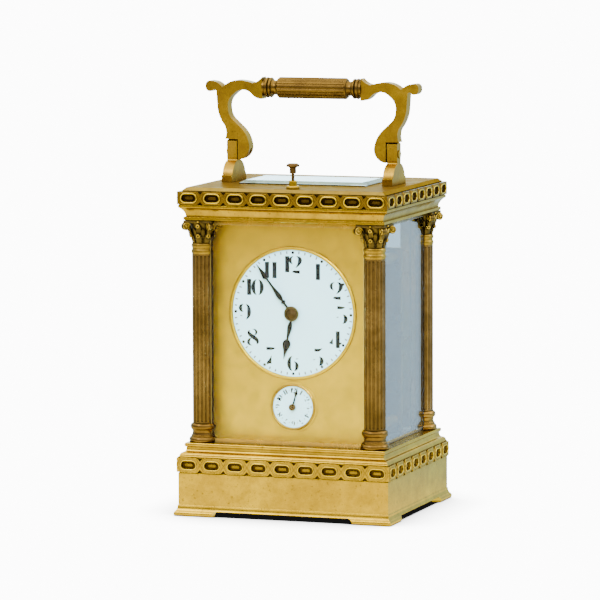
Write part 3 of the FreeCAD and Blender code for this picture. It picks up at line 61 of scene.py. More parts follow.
DIAL_CENTRE = middle("main_dial")
DIAL_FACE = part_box("main_dial")[0].y
ALARM_CENTRE = middle("alarm_dial")
ALARM_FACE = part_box("alarm_dial")[0].y
CAPITAL_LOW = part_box("column_capitals")[0].z
SHAFT_MIDDLE = middle("column_shaft_front_right")
COLUMN_X = abs(SHAFT_MIDDLE.x)
COLUMN_Y = abs(SHAFT_MIDDLE.y)
BOSS_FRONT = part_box("centre_arbor")[0].y
MASK_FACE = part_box("dial_mask")[0].y
SHAFT_RINGS_LOW = CAPITAL_LOW - 4.9 * MM


# ---------------------------------------------------------------- node materials
# How far inside the outer face of a band its pockets start, and how far in their floors are.
POCKET_START = 0.35 * MM
POCKET_FLOOR = 0.7 * MM


class Shade:
    """Builds the node tree of one material, or of the world."""

    def __init__(self, name, world=None):
        self.owner = world or bpy.data.materials.new(name)
        self.owner.use_nodes = True
        self.tree = self.owner.node_tree
        self.tree.nodes.clear()
        self.place = self.add("ShaderNodeTexCoord").outputs["Generated" if world else "Object"]

    def add(self, kind, settings=None, **inputs):
        """A new node. An input's value is a number, a colour or another node's output."""
        node = self.tree.nodes.new(kind)
        for name, value in (settings or {}).items():
            setattr(node, name, value)
        for name, value in inputs.items():
            self.feed(node.inputs[name.replace("_", " ")], value)
        return node

    def feed(self, socket, value):
        """Sets or links one input."""
        if isinstance(value, bpy.types.NodeSocket):
            self.tree.links.new(value, socket)
        elif isinstance(value, tuple) and len(value) == 3 and socket.type == "RGBA":
            socket.default_value = (*value, 1.0)
        else:
            socket.default_value = value

    def noise(self, scale, detail=4.0, roughness=0.6, stretch=None):
        """A noise value over the object, stretched along some axes if asked."""
        place = self.place
        if stretch:
            place = self.add("ShaderNodeMapping", Vector=self.place, Scale=stretch).outputs[0]
        node = self.add("ShaderNodeTexNoise", Vector=place, Scale=scale, Detail=detail, Roughness=roughness)
        return node.outputs["Fac"]

    def ramp(self, value, low, high, start=0.0, end=1.0):
        """value from low to high becomes start to end, clamped."""
        node = self.add("ShaderNodeMapRange", Value=value)
        for name, number in (("From Min", low), ("From Max", high), ("To Min", start), ("To Max", end)):
            node.inputs[name].default_value = number
        return node.outputs["Result"]

    def maths(self, operation, first, second=0.5):
        """A Math node. An operation on one value ignores second."""
        node = self.add("ShaderNodeMath", {"operation": operation})
        self.feed(node.inputs[0], first)
        self.feed(node.inputs[1], second)
        return node.outputs[0]

    def mix(self, share, first, second):
        """A mix of two colours."""
        node = self.add("ShaderNodeMix", {"data_type": "RGBA"})
        self.feed(node.inputs[0], share)
        self.feed(node.inputs[6], first)
        self.feed(node.inputs[7], second)
        return node.outputs[2]

    def bump(self, height, distance, strength=1.0, normal=None):
        """A bump normal. distance is the height of the relief in metres."""
        node = self.add("ShaderNodeBump", Height=height, Distance=distance, Strength=strength)
        if normal is not None:
            self.feed(node.inputs["Normal"], normal)
        return node.outputs[0]

    def crevice(self, reach, samples=8):
        """Near 1 in the open and near 0 in corners narrower than reach."""
        node = self.add("ShaderNodeAmbientOcclusion", {"samples": samples}, Distance=reach)
        return node.outputs["AO"]

    def rounded(self, radius):
        """The normal of the surface with its edges rounded by radius, and how near an edge a point is."""
        soft = self.add("ShaderNodeBevel", {"samples": 6}, Radius=radius).outputs[0]
        hard = self.add("ShaderNodeNewGeometry").outputs["Normal"]
        dot = self.add("ShaderNodeVectorMath", {"operation": "DOT_PRODUCT"})
        self.feed(dot.inputs[0], soft)
        self.feed(dot.inputs[1], hard)
        return soft, self.ramp(dot.outputs["Value"], 0.995, 0.85)

    def height_share(self, low, high):
        """0 under low and 1 over high, in metres along Z."""
        split = self.add("ShaderNodeSeparateXYZ", Vector=self.place)
        return self.ramp(split.outputs["Z"], low, high)

    def sunk_share(self, node):
        """1 in the pockets of a box-shaped band and 0 on its outer faces."""
        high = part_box(node)[1]
        split = self.add("ShaderNodeSeparateXYZ", Vector=self.place)
        inside = [
            self.maths("SUBTRACT", high[axis], self.maths("ABSOLUTE", split.outputs["XY"[axis]]))
            for axis in (0, 1)]
        return self.ramp(self.maths("MINIMUM", *inside), POCKET_START, POCKET_FLOOR)

    def blend(self, share, first, second):
        """A mix of two shaders."""
        node = self.add("ShaderNodeMixShader")
        for socket, value in zip(node.inputs, (share, first, second)):
            self.feed(socket, value)
        return node.outputs[0]

    def ray(self, kind):
        """1 for rays of one kind, such as "Is Camera Ray"."""
        return self.add("ShaderNodeLightPath").outputs[kind]

    def finish(self, surface, output="ShaderNodeOutputMaterial"):
        """Joins the surface shader to the output."""
        self.add(output, Surface=surface)
        return self.owner

    def principled(self, **inputs):
        """A Principled shader's output."""
        return self.add("ShaderNodeBsdfPrincipled", **inputs).outputs[0]


def shaded(colour, share, lift=0.0):
    """A colour scaled by share, with the same small lift on each channel."""
    return tuple(lift + share * part for part in colour)


def metal(name, bright, dull, grime_shade_colour, roughness, patch=45.0, crevice=1.2, edge=0.25, wear_and_highlight=0.5,
          grain=0.0, dirt_shade_range=(0.92, 0.35), rings=None, sunk=None, graze=(0.74, 0.74, 0.66)):
    """Aged metal: patches of duller colour, soiling and painted shade in the corners, edges that are worn
    and carry a painted highlight, and fine dents.

    patch is the number of dull patches in a metre. crevice, edge and grain are in millimetres: how wide a
    corner holds soiling and painted shade, how wide the rounded, brightened edges are, and how deep the
    matt grain is. dirt is how open a corner is where its soiling and painted shade start and where they are
    thickest. rings is (low, high, colour) for a colour that the metal takes on between two heights. sunk
    names a CAD band whose pockets are much darker.
    graze is the colour of the metal seen edge on.
    """
    shade = Shade(name)
    patches = shade.ramp(shade.noise(patch, 5.0, 0.62), 0.36, 0.68)
    colour = shade.mix(patches, bright, dull)
    if rings:
        low, high, tone = rings
        colour = shade.mix(shade.height_share(low, high), colour, tone)
    if sunk:
        colour = shade.mix(shade.sunk_share(sunk), colour, shaded(dull, 0.16, 0.008))
    cloud = shade.ramp(shade.noise(patch * 0.35, 3.0, 0.5), 0.4, 0.64, 0.0, 0.5)
    colour = shade.mix(cloud, colour, shaded(dull, 0.8, 0.004))
    mottle = shade.ramp(shade.noise(170.0, 6.0, 0.74), 0.4, 0.7, 0.0, 0.75)
    colour = shade.mix(mottle, colour, shaded(dull, 0.62))
    specks = shade.ramp(shade.noise(900.0, 2.0, 0.5), 0.64, 0.74, 0.0, 0.5)
    colour = shade.mix(specks, colour, grime_shade_colour)
    normal, near_edge = shade.rounded(edge * MM)
    # Edges are brightened towards the bright colour: partly worn gilt, partly a painted highlight.
    colour = shade.mix(shade.maths("MULTIPLY", near_edge, wear_and_highlight), colour, bright)
    # Corners that the AO node finds occluded are darkened: partly soiling, partly painted shade. They are
    # rougher too.
    dirt_shade_share = shade.ramp(shade.crevice(crevice * MM), *dirt_shade_range, 0.0, 0.9)
    colour = shade.mix(dirt_shade_share, colour, grime_shade_colour)
    scuffs = shade.noise(90.0, 6.0, 0.7)
    rough = shade.ramp(scuffs, 0.3, 0.75, roughness * 0.8, roughness * 1.35)
    rough = shade.maths("ADD", rough, shade.maths("MULTIPLY", dirt_shade_share, 0.35))
    if grain:
        normal = shade.bump(shade.noise(1900.0, 3.0, 0.6), grain * MM, 1.0, normal)
    else:
        normal = shade.bump(shade.noise(420.0, 5.0, 0.7), 0.012 * MM, 0.5, normal)
    return shade.finish(shade.principled(
        Base_Color=colour, Metallic=1.0, Roughness=rough, Normal=normal, Specular_Tint=graze))


def enamel_material():
    """Glossy vitreous enamel of a cool white, very slightly wavy."""
    shade = Shade("white_enamel")
    tone = shade.ramp(shade.noise(70.0, 3.0, 0.5), 0.3, 0.7)
    colour = shade.mix(tone, (0.47, 0.82, 0.98), (0.51, 0.86, 0.99))
    wave = shade.bump(shade.noise(120.0, 2.0, 0.4), 0.01 * MM, 0.4)
    return shade.finish(shade.principled(Base_Color=colour, Roughness=0.16, Normal=wave, Coat_Weight=0.3))


def print_material(name, colour):
    """Fired black figures, a little uneven in density."""
    shade = Shade(name)
    tone = shade.ramp(shade.noise(900.0, 3.0, 0.6), 0.4, 0.75, 0.0, 0.5)
    colour = shade.mix(tone, colour, shaded(colour, 1.4, 0.003))
    return shade.finish(shade.principled(Base_Color=colour, Roughness=0.6, Specular_IOR_Level=0.0))


def blued_material():
    """Dark blued steel with a slight purple patch."""
    shade = Shade("blued_steel")
    tone = shade.ramp(shade.noise(160.0, 2.0, 0.5), 0.35, 0.7)
    colour = shade.mix(tone, (0.007, 0.009, 0.014), (0.011, 0.009, 0.016))
    rough = shade.ramp(tone, 0.0, 1.0, 0.25, 0.4)
    normal = shade.rounded(0.12 * MM)[0]
    return shade.finish(shade.principled(Base_Color=colour, Metallic=0.85, Roughness=rough, Normal=normal))


def glass_material(name, tint, dusty, index, slant_reflection=None):
    """Clear glass that lets light from lamps through, with faint dust. index is its refractive index.

    slanting is the colour of the glass at a slant, a painted reflection that hides what is behind.
    """
    shade = Shade(name)
    dust = shade.ramp(shade.noise(240.0, 5.0, 0.7), 0.45, 0.8, 0.0, 1.0)
    colour = shade.mix(dust, tint, dusty)
    if slant_reflection:
        # Painted reflection: at a slant the glass turns bluish grey, standing in for its stronger
        # reflection there.
        facing = shade.add("ShaderNodeLayerWeight").outputs["Facing"]
        colour = shade.mix(shade.ramp(facing, 0.35, 0.6), colour, slant_reflection)
    rough = shade.ramp(dust, 0.0, 1.0, 0.0, 0.04)
    solid = shade.principled(Base_Color=colour, Roughness=rough, IOR=index, Transmission_Weight=1.0)
    clear = shade.add("ShaderNodeBsdfTransparent", Color=(0.93, 0.96, 0.95)).outputs[0]
    return shade.finish(shade.blend(shade.ray("Is Shadow Ray"), solid, clear))


def bevel_material(name, bright, dull):
    """The ground bevel of a pane: a painted reflection, a silky sheen in the colour of what stands beside
    it.
    """
    shade = Shade(name)
    tone = shade.ramp(shade.noise(120.0, 4.0, 0.6, stretch=(1.0, 1.0, 0.2)), 0.3, 0.7)
    colour = shade.mix(tone, bright, dull)
    rough = shade.ramp(tone, 0.0, 1.0, 0.22, 0.38)
    return shade.finish(shade.principled(Base_Color=colour, Metallic=0.6, Roughness=rough, Alpha=0.75))


# Colours in linear light.
GOLD = (0.62, 0.40, 0.012)
OLD_GOLD = (0.47, 0.28, 0.016)
OCHRE = (0.46, 0.285, 0.016)
DARK_OCHRE = (0.36, 0.20, 0.022)
BROWN = (0.045, 0.020, 0.006)
BRONZE = (0.29, 0.18, 0.075)
DARK_BRONZE = (0.12, 0.07, 0.018)
BLACK_BROWN = (0.018, 0.009, 0.004)

MATERIALS = {
    "gilt_case": metal("gilt_case", GOLD, OLD_GOLD, BROWN, 0.24),
    "cornice_gilt": metal(
        "cornice_gilt", (0.54, 0.345, 0.012), (0.38, 0.225, 0.012), BROWN, 0.22, crevice=1.1,
        dirt_shade_range=(0.9, 0.35)),
    "moulding_gilt": metal("moulding_gilt", GOLD, OLD_GOLD, BROWN, 0.22, crevice=0.9, dirt_shade_range=(0.8, 0.3)),
    "frieze_gilt": metal(
        "frieze_gilt", GOLD, OLD_GOLD, BROWN, 0.26, crevice=2.0, dirt_shade_range=(0.93, 0.6), sunk="base_frieze"),
    # The cornice's band is a darker copy of the base frieze's gilt: painted shade.
    "cornice_frieze_gilt_painted_shade": metal(
        "cornice_frieze_gilt_painted_shade", (0.30, 0.175, 0.014), (0.20, 0.11, 0.012), BLACK_BROWN, 0.3, crevice=2.5,
        dirt_shade_range=(0.97, 0.62), sunk="cornice_frieze"),
    "top_plate_brass": metal(
        "top_plate_brass", (0.34, 0.24, 0.05), (0.26, 0.17, 0.04), BROWN, 0.42, graze=(0.45, 0.33, 0.16)),
    "handle_brass": metal("handle_brass", OCHRE, DARK_OCHRE, BROWN, 0.3, patch=70.0),
    "grip_bronze": metal(
        "grip_bronze", (0.24, 0.14, 0.028), (0.11, 0.06, 0.018), BLACK_BROWN, 0.26, wear_and_highlight=0.9, crevice=1.0,
        dirt_shade_range=(0.95, 0.6)),
    "bronze_columns": metal(
        "bronze_columns", BRONZE, DARK_BRONZE, BLACK_BROWN, 0.28, crevice=1.0, wear_and_highlight=0.8, dirt_shade_range=(0.985, 0.74),
        rings=(SHAFT_RINGS_LOW, SHAFT_RINGS_LOW + 0.2 * MM, (0.46, 0.28, 0.03))),
    "dark_bronze": metal(
        "dark_bronze", (0.16, 0.09, 0.03), (0.08, 0.045, 0.02), BLACK_BROWN, 0.3, patch=200.0),
    "column_base_bronze": metal(
        "column_base_bronze", (0.30, 0.17, 0.035), (0.14, 0.075, 0.02), BLACK_BROWN, 0.2, patch=120.0,
        wear_and_highlight=0.8),
    "capital_bronze": metal(
        "capital_bronze", (0.20, 0.13, 0.03), (0.08, 0.055, 0.02), BLACK_BROWN, 0.34, patch=220.0,
        crevice=1.6, wear_and_highlight=0.6),
    "capital_gilt": metal(
        "capital_gilt", (0.72, 0.48, 0.07), (0.40, 0.25, 0.03), BROWN, 0.26, patch=200.0),
    "gilt_trim": metal("gilt_trim", (0.85, 0.58, 0.03), (0.62, 0.40, 0.03), BROWN, 0.22, crevice=0.6),
    # The ridges on the cornice's band are darker than the base's: painted shade.
    "cornice_ridge_painted_shade": metal(
        "cornice_ridge_painted_shade", (0.42, 0.25, 0.02), (0.28, 0.16, 0.015), BROWN, 0.26, crevice=0.8),
    "gilt_mask": metal(
        "gilt_mask", (0.80, 0.52, 0.004), (0.66, 0.42, 0.006), (0.22, 0.12, 0.01), 0.36, patch=30.0,
        crevice=2.5, grain=0.03, rings=(70 * MM, 125 * MM, (0.52, 0.31, 0.004))),
    "enamel": enamel_material(),
    "black_print": print_material("black_print", (0.006, 0.007, 0.010)),
    "grey_print": print_material("grey_print", (0.10, 0.11, 0.13)),
    "blued_steel": blued_material(),
    "case_glass": glass_material("case_glass", (0.95, 0.98, 0.975), (0.88, 0.90, 0.88), 1.5),
    "front_glass": glass_material("front_glass", (0.97, 0.985, 0.97), (0.93, 0.94, 0.92), 1.22),
    # The side glasses take a bluish grey painted reflection at a slant.
    "side_glass": glass_material(
        "side_glass", (0.90, 0.94, 0.94), (0.84, 0.88, 0.88), 1.64, (0.33, 0.38, 0.41)),
    "door_glass": glass_material("door_glass", (0.86, 0.90, 0.90), (0.78, 0.83, 0.83), 1.5),
    # The bevels are painted with a reflection of what stands beside each pane.
    "front_bevel": bevel_material("front_bevel", (0.62, 0.46, 0.10), (0.46, 0.33, 0.08)),
    "side_bevel": bevel_material("side_bevel", (0.62, 0.70, 0.76), (0.40, 0.48, 0.55)),
    "top_bevel": bevel_material("top_bevel", (0.30, 0.42, 0.40), (0.16, 0.26, 0.25)),
    "movement_brass": metal(
        "movement_brass", (0.60, 0.40, 0.08), (0.50, 0.32, 0.06), BROWN, 0.3, edge=0.12),
    "polished_steel": metal(
        "polished_steel", (0.50, 0.51, 0.52), (0.36, 0.36, 0.37), (0.05, 0.045, 0.045), 0.24, edge=0.12),
    "silvered_platform": metal(
        "silvered_platform", (0.66, 0.64, 0.58), (0.52, 0.50, 0.44), (0.10, 0.08, 0.07), 0.3, edge=0.12),
    "boss_bronze": metal(
        "boss_bronze", (0.13, 0.10, 0.035), (0.06, 0.045, 0.02), BLACK_BROWN, 0.34, patch=300.0),
    "boss_centre": metal(
        "boss_centre", (0.10, 0.055, 0.016), (0.05, 0.028, 0.01), BLACK_BROWN, 0.34, patch=300.0),
}

# Nodes whose finish is browner or darker than the rest of their slot. The cornice's band is darker by
# painted shade.
OWN_FINISH = {
    "base_frieze": "frieze_gilt",
    "cornice_frieze": "cornice_frieze_gilt_painted_shade",
    "column_bases": "column_base_bronze",
    "handle_arm_left": "handle_brass",
    "handle_arm_right": "handle_brass",
    "handle_grip": "grip_bronze",
    "handle_bracket_left": "handle_brass",
    "handle_bracket_right": "handle_brass",
    "top_plate": "top_plate_brass",
    "base_moulding": "moulding_gilt",
    "cornice_moulding": "cornice_gilt",
    "repeat_button": "dark_bronze",
    "alarm_arbor": "dark_bronze",
    "front_glass": "front_glass",
    "left_glass": "side_glass",
    "right_glass": "side_glass",
    "door_glass": "door_glass",
}
# The painted reflection on the sloping faces of the bevelled glasses, and the axis that each pane faces.
BEVELS = {
    "front_glass": ("front_bevel", 1),
    "left_glass": ("side_bevel", 0),
    "right_glass": ("side_bevel", 0),
    "top_glass": ("top_bevel", 2),
}
# How much the normal of a sloping face points along its pane's axis: more than an edge, less than a face.
SLOPE = (0.2, 0.99)


def paint_cad_nodes():
    """Gives every CAD node its own finish or its slot's, and the bevels of the glasses their painted
    reflection.
    """
    for part in frame["record"]["subparts"]:
        node = frame["nodes"][part["node"]]
        node.data.materials.clear()
        finish = OWN_FINISH.get(part["node"], part["material_slot"])
        node.data.materials.append(MATERIALS[finish])
        if part["node"] in BEVELS:
            bevel, axis = BEVELS[part["node"]]
            node.data.materials.append(MATERIALS[bevel])
            for polygon in node.data.polygons:
                polygon.material_index = int(SLOPE[0] < abs(polygon.normal[axis]) < SLOPE[1])


# ---------------------------------------------------------------- mesh helpers
class Mesh:
    """Collects points and faces in millimetres, then makes one named piece."""

    def __init__(self):
        self.points = []
        self.faces = []

    def add(self, points, faces):
        """Adds points and faces that count from 0."""
        first = len(self.points)
        self.points += [tuple(point) for point in points]
        self.faces += [tuple(first + index for index in face) for face in faces]

    def loft(self, rings, capped=True, closed=False):
        """Quads between rings of equal length. The ends are capped, or the last ring joins the first."""
        count = len(rings[0])
        points = [point for ring in rings for point in ring]
        faces = []
        steps = len(rings) if closed else len(rings) - 1
        for row in range(steps):
            here = row * count
            there = ((row + 1) % len(rings)) * count
            for index in range(count):
                after = (index + 1) % count
                faces.append((here + index, here + after, there + after, there + index))
        if capped and not closed:
            faces.append(tuple(reversed(range(count))))
            faces.append(tuple(range((len(rings) - 1) * count, len(rings) * count)))
        self.add(points, faces)

    def tube(self, path, radius, sides=8, closed=False):
        """A round tube along a path of vectors. radius is a number, or a function of the path's share."""
        rings = []
        last = len(path) - 1
        lift = Vector((0.0, 0.0, 1.0))
        for index, point in enumerate(path):
            if closed:
                way = path[(index + 1) % len(path)] - path[index - 1]
            else:
                way = path[min(index + 1, last)] - path[max(index - 1, 0)]
            way = way.normalized()
            side = way.cross(lift)
            if side.length < 1e-4:
                side = way.cross(Vector((0.0, 1.0, 0.0)))
            side.normalize()
            lift = side.cross(way).normalized()
            size = radius(index / last) if callable(radius) else radius
            rings.append([
                point + side * (size * math.cos(TURN * k / sides))
                + lift * (size * math.sin(TURN * k / sides)) for k in range(sides)])
        self.loft(rings, capped=not closed, closed=closed)

    def ball(self, centre, radius, squash=1.0, levels=6, sides=10):
        """A small rounded bead. squash is its height as a share of its width."""
        rings = []
        for row in range(1, levels):
            tilt = math.pi * row / levels
            rings.append([
                centre + Vector((
                    radius * math.sin(tilt) * math.cos(TURN * k / sides),
                    radius * math.sin(tilt) * math.sin(TURN * k / sides),
                    -squash * radius * math.cos(tilt)))
                for k in range(sides)])
        self.loft(rings)

    def torus(self, centre, axis, radius, thick, sides=14):
        """A ring round an axis through centre."""
        across = axis.orthogonal().normalized()
        other = axis.normalized().cross(across)
        path = [
            centre + across * (radius * math.cos(TURN * k / sides))
            + other * (radius * math.sin(TURN * k / sides)) for k in range(sides)]
        self.tube(path, thick, 8, closed=True)

    def piece(self, name, body, material, smooth=True):
        """Makes the object, in metres, riding on its body."""
        data = bpy.data.meshes.new(name)
        data.from_pydata([(x * MM, y * MM, z * MM) for x, y, z in self.points], [], self.faces)
        data.validate()
        data.update()
        if smooth:
            data.polygons.foreach_set("use_smooth", [True] * len(data.polygons))
        data.materials.append(MATERIALS[material])
        made = bpy.data.objects.new(name, data)
        bpy.context.scene.collection.objects.link(made)
        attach(made, body)
        return made


def smooth_line(points, steps=6):
    """A smooth line through points of any size (Catmull-Rom), with steps between each two."""
    points = [tuple(map(float, point)) for point in points]
    line = []
    for index in range(len(points) - 1):
        before = points[max(index - 1, 0)]
        start = points[index]
        end = points[index + 1]
        after = points[min(index + 2, len(points) - 1)]
        for step in range(steps):
            t = step / steps
            line.append(tuple(
                0.5 * (2 * b + (c - a) * t + (2 * a - 5 * b + 4 * c - d) * t * t
                       + (3 * b - a - 3 * c + d) * t ** 3)
                for a, b, c, d in zip(before, start, end, after)))
    line.append(points[-1])
    return line


# ---------------------------------------------------------------- dial figures
# Each digit is a list of strokes. A stroke is a line of (x, z, half width) points in millimetres,
# for a figure 7 mm high with its middle at 0.
BAR = [(0, 3.45, 0.56), (0, 0, 0.52), (0, -3.45, 0.56)]
DOT = 0.27
DIGITS = {
    "0": [
        [(-0.45, 3.35, 0.04), (-1.5, 2.2, 0.33), (-1.95, 0, 0.52), (-1.5, -2.2, 0.33),
         (-0.45, -3.35, 0.04)],
        [(0.45, 3.35, 0.04), (1.5, 2.2, 0.33), (1.95, 0, 0.52), (1.5, -2.2, 0.33), (0.45, -3.35, 0.04)],
    ],
    "1": [BAR],
    "2": [
        [(-0.9, 3.5, 0.04), (-1.95, 2.8, 0.24), (-2.3, 1.8, 0.38), (-2.0, 0.8, 0.26), (-1.2, 0.05, 0.04)],
        [(0.5, 3.5, 0.04), (1.6, 2.9, 0.34), (2.05, 1.7, 0.52), (1.5, 0.1, 0.34), (0.1, -1.5, 0.05)],
        [(-1.5, -3.3, 0.06), (-0.6, -3.12, 0.3), (0.6, -3.22, 0.36), (2.0, -3.2, 0.4)],
    ],
    "3": [
        [(-2.1, 3.3, 0.34), (-1.0, 3.25, 0.36), (0.3, 3.25, 0.28), (1.5, 3.5, 0.05)],
        [(-1.95, -0.7, DOT), (-1.9, -1.0, DOT)],
        [(0.5, 0.4, 0.04), (1.4, -0.4, 0.34), (1.7, -1.6, 0.5), (1.3, -2.8, 0.34), (0.4, -3.55, 0.04)],
    ],
    "4": [
        [(0.9, 3.6, 0.5), (0.9, 0, 0.5), (0.9, -3.6, 0.5)],
        [(-1.3, 0.5, 0.04), (-1.75, -0.7, 0.25), (-2.1, -1.7, 0.5), (-2.15, -1.85, 0.5)],
        [(1.5, -1.7, 0.26), (2.1, -1.6, 0.26), (2.6, -1.3, 0.1)],
    ],
    "5": [
        [(-1.8, 3.2, 0.36), (-0.8, 3.05, 0.36), (0.4, 3.2, 0.3), (1.7, 3.95, 0.04)],
        [(-1.9, -0.9, DOT), (-1.85, -1.2, DOT)],
        [(0.4, 0.4, 0.04), (1.25, -0.4, 0.34), (1.5, -1.6, 0.5), (1.1, -2.8, 0.34), (0.2, -3.45, 0.04)],
    ],
    "6": [
        [(-0.3, 3.25, 0.04), (-1.35, 2.0, 0.32), (-1.7, 0, 0.5), (-1.35, -2.0, 0.34), (-0.25, -3.35, 0.04)],
        [(1.85, 2.2, DOT), (1.9, 1.9, DOT)],
        [(0.6, 0.9, 0.04), (1.55, 0.1, 0.32), (1.85, -1.1, 0.46), (1.5, -2.4, 0.32), (0.7, -3.25, 0.04)],
    ],
    "7": [
        [(-2.0, 3.15, 0.36), (-0.8, 3.2, 0.36), (0.8, 3.22, 0.3), (2.1, 3.45, 0.05)],
        [(0.35, 0.3, 0.03), (-0.1, -1.3, 0.26), (-0.7, -2.9, 0.6), (-0.75, -3.15, 0.62)],
    ],
    "8": [
        [(-1.5, 3.0, 0.05), (-1.95, 2.2, 0.3), (-1.5, 1.2, 0.42), (0.1, 0.1, 0.5), (1.6, -1.0, 0.46),
         (2.05, -2.1, 0.34), (1.6, -3.0, 0.05)],
        [(-0.3, 3.45, 0.04), (0.8, 3.3, 0.16), (1.45, 2.4, 0.3), (1.2, 1.4, 0.2), (0.5, 0.9, 0.04)],
        [(-0.7, -0.35, 0.04), (-1.7, -1.0, 0.26), (-2.15, -2.2, 0.36), (-1.6, -3.1, 0.22),
         (-0.6, -3.5, 0.04)],
    ],
    "9": [
        [(-0.7, 3.3, 0.04), (-1.75, 2.6, 0.3), (-2.05, 1.6, 0.44), (-1.7, 0.5, 0.3), (-0.7, -0.1, 0.04)],
        [(0.4, 3.35, 0.04), (1.5, 2.2, 0.33), (1.85, 0, 0.52), (1.5, -2.0, 0.34), (0.5, -3.4, 0.04)],
        [(-1.7, -1.6, DOT), (-1.75, -1.9, DOT)],
    ],
}
# How far each digit of a number is moved sideways.
DIGIT_SPREAD = {"10": (-2.4, 1.4), "11": (-1.6, 1.8), "12": (-2.5, 1.2)}
# Where the middle of each hour's figure is: its radius, and its angle in degrees clockwise from twelve.
FIGURE_PLACES = {
    1: (21.2, 32.0), 2: (22.0, 62.0), 3: (21.9, 90.5), 4: (21.9, 119.0), 5: (21.7, 148.5),
    6: (21.5, 180.5), 7: (21.2, 208.5), 8: (21.1, 239.0), 9: (21.7, 270.0), 10: (20.4, 301.5),
    11: (20.8, 331.0), 12: (20.9, 359.8),
}
STROKE_WEIGHT = 1.75            # stroke widths, as a multiple of the widths above
HOUR_DOT = (25.9, 0.62)         # distance from the centre, radius
MINUTE_MARK = ((25.4, 0.26), (26.5, 0.3))   # inner and outer end: distance, half width
ALARM_FIGURE = (7.1, 0.29, 2.0)             # distance, height as a share of 7 mm, stroke weight
ALARM_DOT = 0.2
PRINT_PROUD = 0.03
PRINT_SUNK = 0.01


def stroke_rings(stroke, front, back):
    """Rings of a flat stroke between two depths: its left and right edges along the line."""
    line = smooth_line(stroke, 5)
    rings = []
    for index, (x, z, half) in enumerate(line):
        before = line[max(index - 1, 0)]
        after = line[min(index + 1, len(line) - 1)]
        way = Vector((after[0] - before[0], after[1] - before[1]))
        way.normalize()
        left = (x - way.y * half, z + way.x * half)
        right = (x + way.y * half, z - way.x * half)
        rings.append([
            (left[0], front, left[1]), (right[0], front, right[1]),
            (right[0], back, right[1]), (left[0], back, left[1])])
    return rings


def draw_number(mesh, text, centre, depth, size, turn=0.0, weight=1.0):
    """Draws a number at (x, z). size is its height as a share of 7 mm; turn is clockwise in radians."""
    front, back = depth
    spread = DIGIT_SPREAD.get(text, (0.0,))
    for digit, shift in zip(text, spread):
        for stroke in DIGITS[digit]:
            placed = []
            for x, z, half in stroke:
                a = (x + shift) * size
                b = z * size
                placed.append((
                    centre[0] + a * math.cos(turn) + b * math.sin(turn),
                    centre[1] - a * math.sin(turn) + b * math.cos(turn),
                    half * size * weight))
            mesh.loft(stroke_rings(placed, front, back))


def around(centre, radius, turn):
    """A point (x, z) at a clockwise angle from twelve."""
    return (centre[0] + radius * math.sin(turn), centre[1] + radius * math.cos(turn))


def flat_dot(mesh, centre, radius, depth, sides=14):
    """A small flat disc on a dial."""
    rings = []
    for y in reversed(depth):
        rings.append([
            (centre[0] + radius * math.cos(TURN * k / sides), y,
             centre[1] + radius * math.sin(TURN * k / sides)) for k in range(sides)])
    mesh.loft(rings)


def print_depth(face):
    """The front and back of the print on a dial, in millimetres."""
    return (face / MM - PRINT_PROUD, face / MM + PRINT_SUNK)


def main_dial_print():
    """The figures, hour dots and minute marks of the main dial."""
    centre = (DIAL_CENTRE.x / MM, DIAL_CENTRE.z / MM)
    depth = print_depth(DIAL_FACE)
    figures = Mesh()
    minutes = Mesh()
    for hour in range(1, 13):
        radius, degrees = FIGURE_PLACES[hour]
        place = around(centre, radius, math.radians(degrees))
        draw_number(figures, str(hour), place, depth, 1.0, weight=STROKE_WEIGHT)
        flat_dot(figures, around(centre, HOUR_DOT[0], TURN * hour / 12), HOUR_DOT[1], depth)
    for minute in range(60):
        if minute % 5:
            turn = TURN * minute / 60
            mark = [(*around(centre, radius, turn), half) for radius, half in MINUTE_MARK]
            minutes.loft(stroke_rings(mark, *depth))
    figures.piece("main_dial_figures", "case", "black_print", smooth=False)
    minutes.piece("main_dial_minutes", "case", "grey_print", smooth=False)


def alarm_dial_print():
    """The twelve figures of the alarm dial, with a dot after each."""
    centre = (ALARM_CENTRE.x / MM, ALARM_CENTRE.z / MM)
    depth = print_depth(ALARM_FACE)
    radius, size, weight = ALARM_FIGURE
    figures = Mesh()
    for hour in range(1, 13):
        turn = TURN * hour / 12
        draw_number(figures, str(hour), around(centre, radius, turn), depth, size, turn, weight)
        flat_dot(figures, around(centre, radius, turn + TURN / 24), ALARM_DOT, depth, 8)
    figures.piece("alarm_dial_figures", "case", "black_print", smooth=False)


# ---------------------------------------------------------------- turned trims on the dials
# Closed profiles (radius, y). y counts from the face that the trim sits on, and is negative in front of it.
MAIN_BEZEL = [(27.15, 0.2), (27.2, -0.25), (27.5, -0.45), (28.1, -0.4), (28.5, -0.1), (28.6, 0.2)]
ALARM_BEZEL = [(8.95, 0.2), (9.0, -0.15), (9.3, -0.35), (9.7, -0.3), (10.05, -0.05), (10.1, 0.2)]
BOSS_RIM = [(2.35, 0.05), (2.45, -0.25), (2.75, -0.4), (3.05, -0.3), (3.2, 0.05)]
BOSS_CORE = [
    (0.02, 0.05), (0.02, -0.5), (0.5, -0.48), (0.8, -0.2), (1.8, -0.12), (2.3, -0.08), (2.32, 0.05)]


def turned_trim(name, middle_point, face, profile, sides, body, material):
    """A piece turned about the Y axis through middle_point, sitting on a face."""
    rings = []
    for k in range(sides):
        turn = TURN * k / sides
        rings.append([
            (middle_point.x / MM + radius * math.sin(turn), face / MM + y,
             middle_point.z / MM + radius * math.cos(turn)) for radius, y in profile])
    mesh = Mesh()
    mesh.loft(rings, closed=True)
    mesh.piece(name, body, material)


